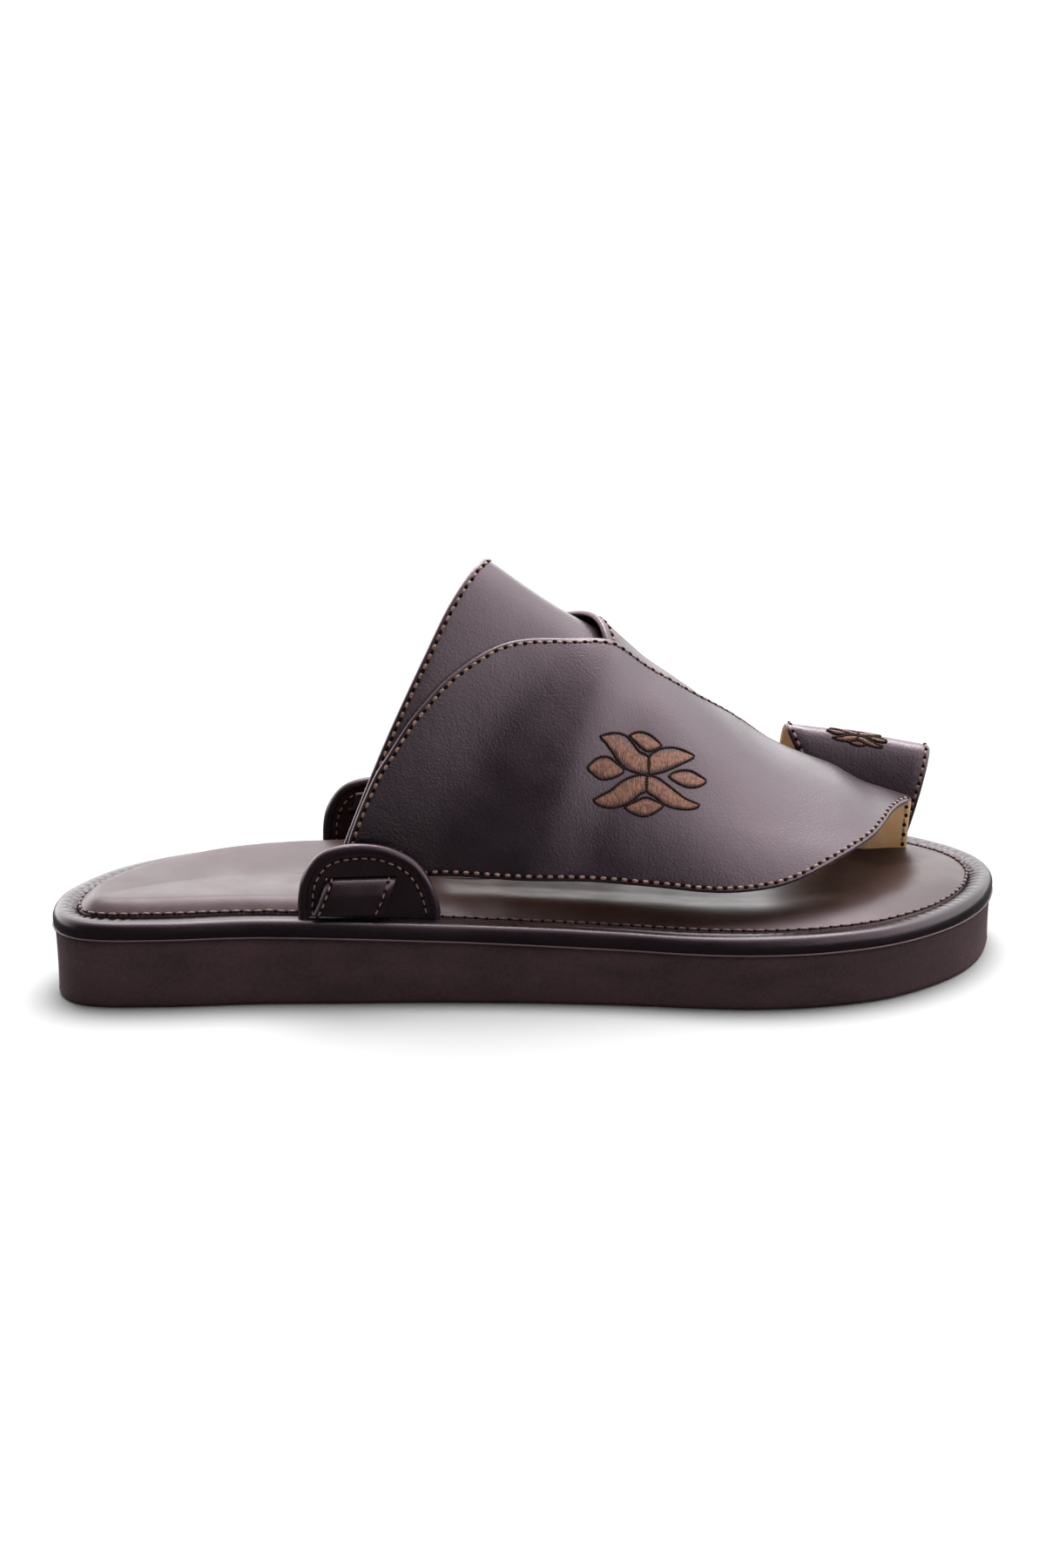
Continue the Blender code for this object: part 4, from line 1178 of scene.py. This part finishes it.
def seam_tree():
    """One stitch at every pitch of a line, along the line."""
    tree, sizes = start_tree("Seam", ["Pitch", "Length", "Width", "Height", "Shift", "Wobble"])
    curve = add_node(tree, "GeometryNodeMeshToCurve", Mesh=sizes["Geometry"])
    divided = add_node(tree, "GeometryNodeResampleCurve", {"mode": "LENGTH"},
                       Curve=curve.outputs["Curve"], Length=sizes["Pitch"])
    tangent = add_node(tree, "GeometryNodeInputTangent")
    stitch = stitch_body(tree, sizes)
    turn = laid_along(tree, tangent.outputs["Tangent"], sizes["Wobble"], sizes["Seed"])
    placed = add_node(tree, "GeometryNodeInstanceOnPoints", Points=divided.outputs["Curve"],
                      Instance=stitch.outputs["Geometry"], Rotation=turn.outputs["Rotation"])
    finish_tree(tree, placed.outputs["Instances"], sizes["Finish"])
    return tree

# %% [markdown]
# In satin stitch the threads lie side by side, each as long as the leaf is wide there. So this
# tree takes single points, and reads each thread's length and direction from attributes.

# %% Satin tree
def satin_tree():
    """One thread for each point, as long as the point's span, along its own direction."""
    tree, sizes = start_tree("Satin", ["Width", "Height", "Wobble"])
    ball = add_node(tree, "GeometryNodeMeshUVSphere", Segments=6, Rings=9, Radius=0.5)
    turn = laid_along(tree, attribute(tree, "ahead"), sizes["Wobble"], sizes["Seed"])
    size = add_node(tree, "ShaderNodeCombineXYZ", X=attribute(tree, "span", "FLOAT"),
                    Y=sizes["Width"], Z=sizes["Height"])
    placed = add_node(tree, "GeometryNodeInstanceOnPoints", Points=sizes["Geometry"],
                      Instance=ball.outputs["Mesh"], Rotation=turn.outputs["Rotation"],
                      Scale=size.outputs["Vector"])
    finish_tree(tree, placed.outputs["Instances"], sizes["Finish"])
    return tree


SEAM = seam_tree()
SATIN_FILL = satin_tree()
print("trees:", SEAM.name, len(SEAM.nodes), "nodes,", SATIN_FILL.name, len(SATIN_FILL.nodes))

# %% [markdown]
# A tree runs as a modifier on a helper mesh. Its inputs are set by their identifiers before
# anything is evaluated, the result is copied to a plain mesh, and the modifier is removed, so
# that the frame meets only ordinary meshes.

# %% Running a tree
def grown(name, tree, points, edges, attributes, values):
    """Runs a tree over a helper mesh, and keeps the result as a plain mesh."""
    mesh = bpy.data.meshes.new(name + "_line")
    mesh.from_pydata([tuple(p) for p in points], edges, [])
    for title, data in attributes.items():
        flat = np.ravel(data)
        vector = flat.size > len(points)
        made = mesh.attributes.new(title, "FLOAT_VECTOR" if vector else "FLOAT", "POINT")
        made.data.foreach_set("vector" if vector else "value", flat)
    piece = add_to_scene(name, mesh)
    modifier = piece.modifiers.new("Grow", "NODES")
    modifier.node_group = tree
    for item in tree.interface.items_tree:
        if item.item_type == "SOCKET" and item.in_out == "INPUT" and item.name in values:
            modifier[item.identifier] = values[item.name]
    depsgraph = bpy.context.evaluated_depsgraph_get()
    result = bpy.data.meshes.new_from_object(piece.evaluated_get(depsgraph))
    piece.modifiers.clear()
    piece.data = result
    result.name = name
    bpy.data.meshes.remove(mesh)
    print(name, len(result.polygons), "faces")
    return piece

# %% [markdown]
# Seams are measured from the cut edge, as a presser foot guides them: a millimetre and a half
# in, about eight stitches to the inch. Each seam is a table's curve moved in over the leather
# by that distance, and lifted to the outer face of its piece.

# %% Seams of the upper
PITCH = 0.0031
SEAM_INSET = 0.0014
ROLLED_SEAM_INSET = 0.0026
SEAM_STEP = 0.0010
STITCH_WOBBLE = 0.10
HOLE_OVERLAP = 0.0004
HOLE_WIDTH = 0.0012
HOLE_HEIGHT = 0.00056
UNDER_LINING = -0.0001


def seam_line(surface, table, side, lift, wall, start=0.0, end=1.0, inset_by=SEAM_INSET):
    """Points and normals of a seam beside a cut edge; side is 1 to the left of its run."""
    line = dense(table)
    first, last = int(start * (len(line) - 1)), int(end * (len(line) - 1))
    line = line[first:last + 1]
    line = inset(surface, line, side * inset_by, False)
    line = at_rows(line, spaced(surface(*line.T), SEAM_STEP))
    return stand_off(surface, line, lift(*line.T) + wall), slopes(surface, line)[2]


def sew(name, node, lines, finish, pitch=PITCH, length=0.0019, width=0.00100, height=0.00080,
        seed=3, holes=True):
    """Stitches along some lines, each with the normals of the leather, and the painted shade of
    each hole between them.
    """
    points, edges, ups = [], [], []
    for line, up in lines:
        first = len(points)
        points += list(line)
        ups += list(up)
        edges += [(first + i, first + i + 1) for i in range(len(line) - 1)]
    values = {"Pitch": pitch, "Length": length, "Width": width, "Height": height, "Shift": 0.0,
              "Wobble": STITCH_WOBBLE, "Seed": seed, "Finish": finish}
    belongs(grown(name, SEAM, points, edges, {"up": ups}, values), node)
    # Painted shade: near-black bodies between the stitches stand for the shade in each hole.
    if holes:
        values.update(Length=pitch - length + HOLE_OVERLAP, Width=HOLE_WIDTH,
                      Height=HOLE_HEIGHT, Shift=0.5 * pitch, Finish=HOLE_SHADE)
        belongs(grown(name + "_holes", SEAM, points, edges, {"up": ups}, values), node)


sew("outer_wing_seam", "upper", [
    seam_line(tent, OUTER_TOP, -1, outer_lift, LEATHER_WALL, 0.02, 0.97),
    seam_line(tent, OUTER_LOW[::-1], 1, outer_lift, LEATHER_WALL, 0.04, 1.0),
    seam_line(tent, OUTER_FRONT[::-1], 1, outer_lift, LEATHER_WALL, 0.02, 0.85),
], WING_THREAD, seed=5)
tip, tip_up = seam_line(tent, OUTER_FRONT[::-1], 1, outer_lift, UNDER_LINING, 0.02, 0.85)
sew("outer_wing_seam_inside", "upper", [(tip, -tip_up)], TAN_THREAD, seed=5)
sew("band_seam", "upper", [
    seam_line(tent, BAND_REAR, -1, no_lift, LEATHER_WALL, 0.03, 0.97),
], WING_THREAD, seed=6)
sew("inner_wing_seam", "upper", [
    seam_line(tent, INNER_TOP, 1, inner_lift, LEATHER_WALL, 0.02, 0.90, ROLLED_SEAM_INSET),
    seam_line(tent, INNER_LOW[::-1], -1, inner_lift, LEATHER_WALL, 0.04, 0.62),
], WING_THREAD, seed=7)
sew("toe_loop_seam", "toe_ring", [
    seam_line(ring, ring_edge(0.0, 0.86), -1, no_lift, RING_WALL),
    seam_line(ring, ring_edge(2.0, 0.86), 1, no_lift, RING_WALL),
], WING_THREAD, seed=8, pitch=0.0028, length=0.0020)

# %% [markdown]
# The ears and the tails are sewn with a finer thread and a shorter stitch than the wings,
# because they are small. The insole's seam is the one that holds the rand, and sinks into the
# groove between the two. All of them take the same tree, with other numbers.

# %% Seams of the ears, the tails and the insole
FINE_THREAD = 0.0005
EAR_SEAM_INSET = 0.0010
EAR_SEAM_FOOT = 0.0012
ON_PANEL = 0.0001
TAIL_SEAM_STEP = 0.0008
TAIL_SEAM_ROWS = slice(16, -2)
RAND_SEAM_INSET = 0.0007
RAND_SEAM_RISE = 0.0003


def flat_seam(line, y, side):
    """A seam in an upright plane, its stitches' backs to one side."""
    line = at_rows(line, spaced(line, SEAM_STEP))
    return np.insert(line, 1, y, axis=1), np.tile((0.0, side, 0.0), (len(line), 1))


def ear_seams(place):
    """The seams on an ear's two faces, beside its piping and above its foot."""
    _, y, z = ear_place(place)
    line = planar_inset(ear_line(place), 2 * PIPING + EAR_SEAM_INSET)
    line = line[line[:, 1] > z + SEAT_DEPTH + EAR_SEAM_FOOT]
    return [flat_seam(line, y + face * (0.5 * EAR_PANEL + ON_PANEL), face) for face in (-1, 1)]


def tail_seams(place, side):
    """The two seams beside a tail's slanted edges."""
    middle, normal = tail_line(place, side)
    face, up = (middle + 0.5 * LEATHER_WALL * normal)[TAIL_SEAM_ROWS], normal[TAIL_SEAM_ROWS]
    rows = spaced(face, TAIL_SEAM_STEP)
    return [(at_rows(face + (across * TAIL_WIDTH, 0, 0), rows), at_rows(up, rows))
            for across in (-0.42, 0.40)]


for name, node, place in (("outer_ear_seam", "ear_outer", OUTER_EAR),
                          ("inner_ear_seam", "ear_inner", INNER_EAR)):
    sew(name, node, ear_seams(place), WING_THREAD, pitch=0.0026, length=0.0019,
        width=FINE_THREAD, seed=9)
sew("tail_seams", "upper", tail_seams(OUTER_EAR, -1) + tail_seams(INNER_EAR, 1), WING_THREAD,
    pitch=0.0024, length=0.0018, width=FINE_THREAD, seed=10)

seam = (LOOP - NORMALS * (RAND_WIDTH + RAND_SEAM_INSET))[::INSOLE_EVERY]
seam = np.column_stack([seam, insole_top(*seam.T) + RAND_SEAM_RISE])
seam = np.vstack([seam, seam[:1]])
sew("insole_seam", "insole", [(seam, np.tile((0.0, 0.0, 1.0), (len(seam), 1)))],
    INSOLE_THREAD, pitch=0.0033, length=0.0026, width=0.0009, height=0.0009, seed=12)

# %% [markdown]
# The rand's lower cut edge shows as a thin pale line where the leather ends on the foam. A
# very thin roll laid along that edge, round the whole sole, gives the line.

# %% Cut edge of the rand
EDGE_LINE = 0.00032
EDGE_OUT = 0.00006
EDGE_RISE = 0.0002
loops = []
for turn in np.linspace(0, 2 * np.pi, 8, endpoint=False):
    loops.append(edge_loop(0.5 * EDGE_LINE - RAND_PROUD - EDGE_OUT + EDGE_LINE * np.cos(turn),
                           RAND_FOOT + EDGE_RISE + EDGE_LINE * np.sin(turn)))
edge_line = make_piece("rand_cut_edge", np.vstack(loops), skin(loops, True), [RAND_EDGE])
belongs(edge_line, "rand")

# %% [markdown]
# The ornament is a traditional one of leaves and seeds, embroidered before the leather is
# bent. Each leaf is a short table in millimetres on the flat leather, because that is how such
# a pattern is drawn, and a closed curve through it gives the leaf's soft outline.

# %% Leaves and seeds
LEAVES = [
    # x forward, y up, in millimetres from the middle
    [(-14.0, 10.5), (-10.1, 11.6), (-6.5, 11.0), (-4.3, 9.2), (-2.0, 6.6), (0.7, 5.0),
     (0.7, 0.4), (-2.4, 0.5), (-5.6, 1.6), (-8.3, 3.9), (-10.1, 6.2), (-12.4, 8.8)],
    [(0.9, 5.0), (3.0, 6.9), (5.2, 7.9), (8.8, 8.3), (12.6, 7.4), (14.7, 5.9),
     (10.6, 3.4), (7.0, 1.6), (4.3, 0.6), (0.9, 0.4)],
    [(-5.0, 11.0), (-2.4, 12.3), (0.7, 11.8), (3.0, 10.3), (4.5, 8.5), (2.5, 7.3), (0.5, 6.7),
     (-1.5, 7.7), (-3.2, 9.3)],
    [(-16.9, 2.3), (-14.6, 4.6), (-11.5, 5.0), (-8.8, 3.4), (-6.5, 1.1), (-9.2, -0.7),
     (-12.8, -1.0), (-15.3, 0.6)],
    [(7.0, -0.5), (9.7, 1.2), (13.4, 1.5), (16.1, 0.3), (18.1, -1.3), (16.1, -3.1),
     (12.9, -3.7), (9.7, -2.6)],
    [(-14.2, -6.3), (-10.1, -4.2), (-6.5, -1.6), (-2.9, -0.3), (0.2, -0.5), (0.0, -4.6),
     (-1.5, -5.5), (-4.7, -7.8), (-8.3, -8.8), (-11.9, -8.2)],
    [(0.4, -0.5), (3.4, -1.0), (6.1, -2.9), (8.8, -5.1), (11.6, -7.3), (15.4, -9.2),
     (12.9, -10.5), (8.8, -10.2), (5.7, -9.0), (3.0, -6.8), (0.2, -4.6)],
    [(-5.5, -9.1), (-2.9, -7.6), (0.0, -6.6), (2.5, -7.6), (4.8, -9.2), (2.5, -11.1),
     (-0.2, -11.9), (-2.9, -11.1)],
]

# %% [markdown]
# Across each leaf the threads run all in one slanted direction, inside a dark outline. A comb
# of parallel lines is cut with the leaf's outline, and each piece of a line gives one thread:
# its middle, its length and its direction on the bent leather.

# %% Satin stitch
LEAF_STEPS = 8
THREAD_PITCH = 0.00034
SLANT = 0.10
PAST_EDGE = 0.0002
SATIN_ON_LEATHER = 0.00010
OUTLINE_ON_LEATHER = 0.00008


def thread_ends(outline, step):
    """The two ends of each slanted thread that crosses a leaf."""
    skewed = outline[:, 0] - SLANT * outline[:, 1]
    after, after_skewed = np.roll(outline, -1, axis=0), np.roll(skewed, -1)
    ends = []
    for x in np.arange(outline[:, 0].min() + 0.3 * step, outline[:, 0].max(), step):
        where = x - SLANT * outline[:, 1].mean()
        hits = np.nonzero((skewed > where) != (after_skewed > where))[0]
        share = (where - skewed[hits]) / (after_skewed[hits] - skewed[hits])
        ys = np.sort(outline[hits, 1] + share * (after[hits, 1] - outline[hits, 1]))
        ends += [np.array([(where + SLANT * y, y) for y in pair])
                 for pair in zip(ys[::2], ys[1::2])]
    return ends


def on_leather(motif, spots):
    """Flat millimetres of the pattern as run and round on the leather."""
    centre, forward, up, size = motif
    return np.array(centre) + size * (np.outer(spots[:, 0], forward) + np.outer(spots[:, 1], up))


def embroider(name, node, surface, motif, lift, wall, seed):
    """The ornament in satin stitch, each leaf inside its dark outline."""
    points, ups, aheads, spans, lines = [], [], [], [], []
    for leaf in LEAVES:
        outline = closed_spline(leaf, LEAF_STEPS)
        for ends in thread_ends(outline, THREAD_PITCH / MM / motif[3]):
            spots = on_leather(motif, ends)
            start, end = surface(*spots.T)
            middle = spots.mean(axis=0)[None]
            out = lift(*middle.T) + wall + SATIN_ON_LEATHER
            points.append(stand_off(surface, middle, out)[0])
            ups.append(slopes(surface, middle)[2][0])
            aheads.append(end - start)
            spans.append(np.linalg.norm(end - start) + PAST_EDGE)
        edge = on_leather(motif, np.vstack([outline, outline[:1]]))
        out = lift(*edge.T) + wall + OUTLINE_ON_LEATHER
        lines.append((stand_off(surface, edge, out), slopes(surface, edge)[2]))
    values = {"Width": 0.00050, "Height": 0.00042, "Wobble": 0.07, "Seed": seed, "Finish": SATIN}
    fill = grown(name, SATIN_FILL, points, [], {"up": ups, "ahead": aheads, "span": spans}, values)
    belongs(fill, node)
    sew(name + "_outline", node, lines, DARK_THREAD, pitch=0.0009, length=0.0013, width=0.00095,
        height=0.00080, seed=seed, holes=False)

# %% [markdown]
# The same leaves are sewn on the outer wing, and smaller on the toe ring. A motif's place is
# its middle and the way run and round change per millimetre forward and up.

# %% Ornaments
# A motif's middle, how run and round change per millimetre forward and up, and its size
WING_MOTIF = ((2.669, -0.500), (0.0327, 0.00406), (-0.00991, 0.00991), 1.0)
RING_MOTIF = ((0.95, -0.07), (0.0420, 0.0), (0.0, 0.0250), 0.56)
embroider("wing_ornament", "upper", tent, WING_MOTIF, outer_lift, LEATHER_WALL, 21)
embroider("ring_ornament", "toe_ring", ring, RING_MOTIF, no_lift, RING_WALL, 22)

# %% [markdown]
# The sandal stands on a plain pale floor that runs on to the horizon. Polished leather would
# mirror all of it as a grey haze, which a studio keeps away with dark cloth. Here the floor is
# dark to rays that come off polish, and pale to all others.

# %% Floor
FLOOR_COLOR = (0.50, 0.50, 0.50)
FLOOR_MIRRORED = (0.05, 0.05, 0.05)
FLOOR_HALF = 40.0


def floor_finish():
    """A pale floor that the polished leather mirrors as if it were dark."""
    finish, tree, shader = new_finish("pale floor")
    ray = add_node(tree, "ShaderNodeLightPath")
    shaded(tree, shader, {
        "Base Color": blend_of(tree, ray.outputs["Is Glossy Ray"], FLOOR_COLOR, FLOOR_MIRRORED),
        "Roughness": 0.9, "Specular IOR Level": 0.1,
    })
    return finish


plane = bpy.data.meshes.new("floor")
plane.from_pydata([(x * FLOOR_HALF, y * FLOOR_HALF, 0)
                   for x, y in ((-1, -1), (1, -1), (1, 1), (-1, 1))], [], [(0, 1, 2, 3)])
plane.materials.append(floor_finish())
add_to_scene("floor", plane)

# %% [markdown]
# The light is soft. A wide sun stands for a bright ceiling and gives the contact shadow, and a
# weak softbox behind outlines the edges. The gloss comes from the sky: it is dark on the
# camera's side and bright behind and towards the toe, so the side of the upper goes from almost
# black at the heel to grey-brown at the toe.

# %% Lamps
CEILING_STRENGTH = 6.2
CEILING_WIDTH = np.radians(45)
CEILING_TURN = (np.radians(-18), np.radians(6), 0)


def softbox(name, place, target, size, power):
    """A rectangular lamp at a place, turned to a target."""
    light = bpy.data.lights.new(name, "AREA")
    light.shape = "RECTANGLE"
    light.size, light.size_y = size
    light.energy = power
    lamp = add_to_scene(name, light)
    lamp.location = place
    lamp.rotation_euler = (Vector(target) - Vector(place)).to_track_quat("-Z", "Y").to_euler()


softbox("back_wall", (0.0, 2.4, 1.05), (0, 0, 0.05), (3.6, 1.2), 8)
sun = bpy.data.lights.new("ceiling", "SUN")
sun.energy = CEILING_STRENGTH
sun.angle = CEILING_WIDTH
add_to_scene("ceiling", sun).rotation_euler = CEILING_TURN

# %% [markdown]
# The sky is a few nodes in the world. The angle between a direction and the dark side picks a
# strength from a ramp. Light Path tells the rays apart: only polish sees that sky, rough
# surfaces get an even, weaker light, and the camera sees white.

# %% Sky
SKY_AMBIENT = 0.28
SKY_SEEN = 1.0
SKY_PEAK = 6.6
SKY_DARK_SIDE = (-0.49, -0.83, 0.25)
SKY_STOPS = [
    # way from the dark side round to its opposite, share of the peak
    (0.00, 0.01), (0.06, 0.04), (0.12, 0.16), (0.20, 0.46), (0.30, 0.62), (0.40, 0.78),
    (0.50, 1.00), (0.60, 1.00), (0.70, 0.82), (0.85, 0.48), (1.00, 0.34),
]


def mirrored_sky(air):
    """The sky's strength in each direction, as polish mirrors it."""
    toward = add_node(air, "ShaderNodeTexCoord")
    facing = add_node(air, "ShaderNodeVectorMath", {"operation": "DOT_PRODUCT"})
    plug(air, facing.inputs[0], toward.outputs["Generated"])
    plug(air, facing.inputs[1], SKY_DARK_SIDE)
    way = clipped(air, facing.outputs["Value"], 1.0, -1.0)
    ramp = add_node(air, "ShaderNodeValToRGB", Fac=way)
    for place, _ in SKY_STOPS[1:-1]:
        ramp.color_ramp.elements.new(place)
    for element, (place, share) in zip(ramp.color_ramp.elements, SKY_STOPS):
        element.position = place
        element.color = (share, share, share, 1)
    return clipped(air, ramp.outputs["Color"], 0.0, 1.0, 0.0, SKY_PEAK)


def chosen(tree, switch, otherwise, then):
    """One number where a switch is 1, and another where it is 0."""
    mix = add_node(tree, "ShaderNodeMix", {"data_type": "FLOAT"}, Factor=switch, A=otherwise,
                   B=then)
    return output_of(mix)


world = bpy.data.worlds.new("studio")
bpy.context.scene.world = world
world.use_nodes = True
air = world.node_tree
ray = add_node(air, "ShaderNodeLightPath").outputs
strength = chosen(air, ray["Is Glossy Ray"], SKY_AMBIENT, mirrored_sky(air))
strength = chosen(air, ray["Is Camera Ray"], strength, SKY_SEEN)
shaded(air, air.nodes["Background"], {"Color": (1, 1, 1, 1), "Strength": strength})

# %% [markdown]
# The camera looks at the outer side, a little from the heel's side and from a little above. Its
# lens is long, so that the two ends of the sole are drawn at nearly the same scale.

# %% Camera
CAMERA_TARGET = (-0.0040, -0.0111, 0.0580)
CAMERA_AZIMUTH = np.radians(-5.0)
CAMERA_ELEVATION = np.radians(17.5)
CAMERA_DISTANCE = 0.80
CAMERA_LENS = 60.8
CAMERA_SENSOR = 36.0
CAMERA_SHIFT = 0.0011
lens = bpy.data.cameras.new("camera")
lens.lens = CAMERA_LENS
lens.sensor_width = CAMERA_SENSOR
lens.sensor_fit = "AUTO"
lens.shift_y = CAMERA_SHIFT
lens.clip_start = 0.01
camera = add_to_scene("camera", lens)
back = Vector((np.sin(CAMERA_AZIMUTH) * np.cos(CAMERA_ELEVATION),
               -np.cos(CAMERA_AZIMUTH) * np.cos(CAMERA_ELEVATION), np.sin(CAMERA_ELEVATION)))
camera.location = Vector(CAMERA_TARGET) + CAMERA_DISTANCE * back
camera.rotation_euler = (-back).to_track_quat("-Z", "Y").to_euler()
bpy.context.scene.camera = camera
bpy.context.scene.view_settings.view_transform = "Standard"
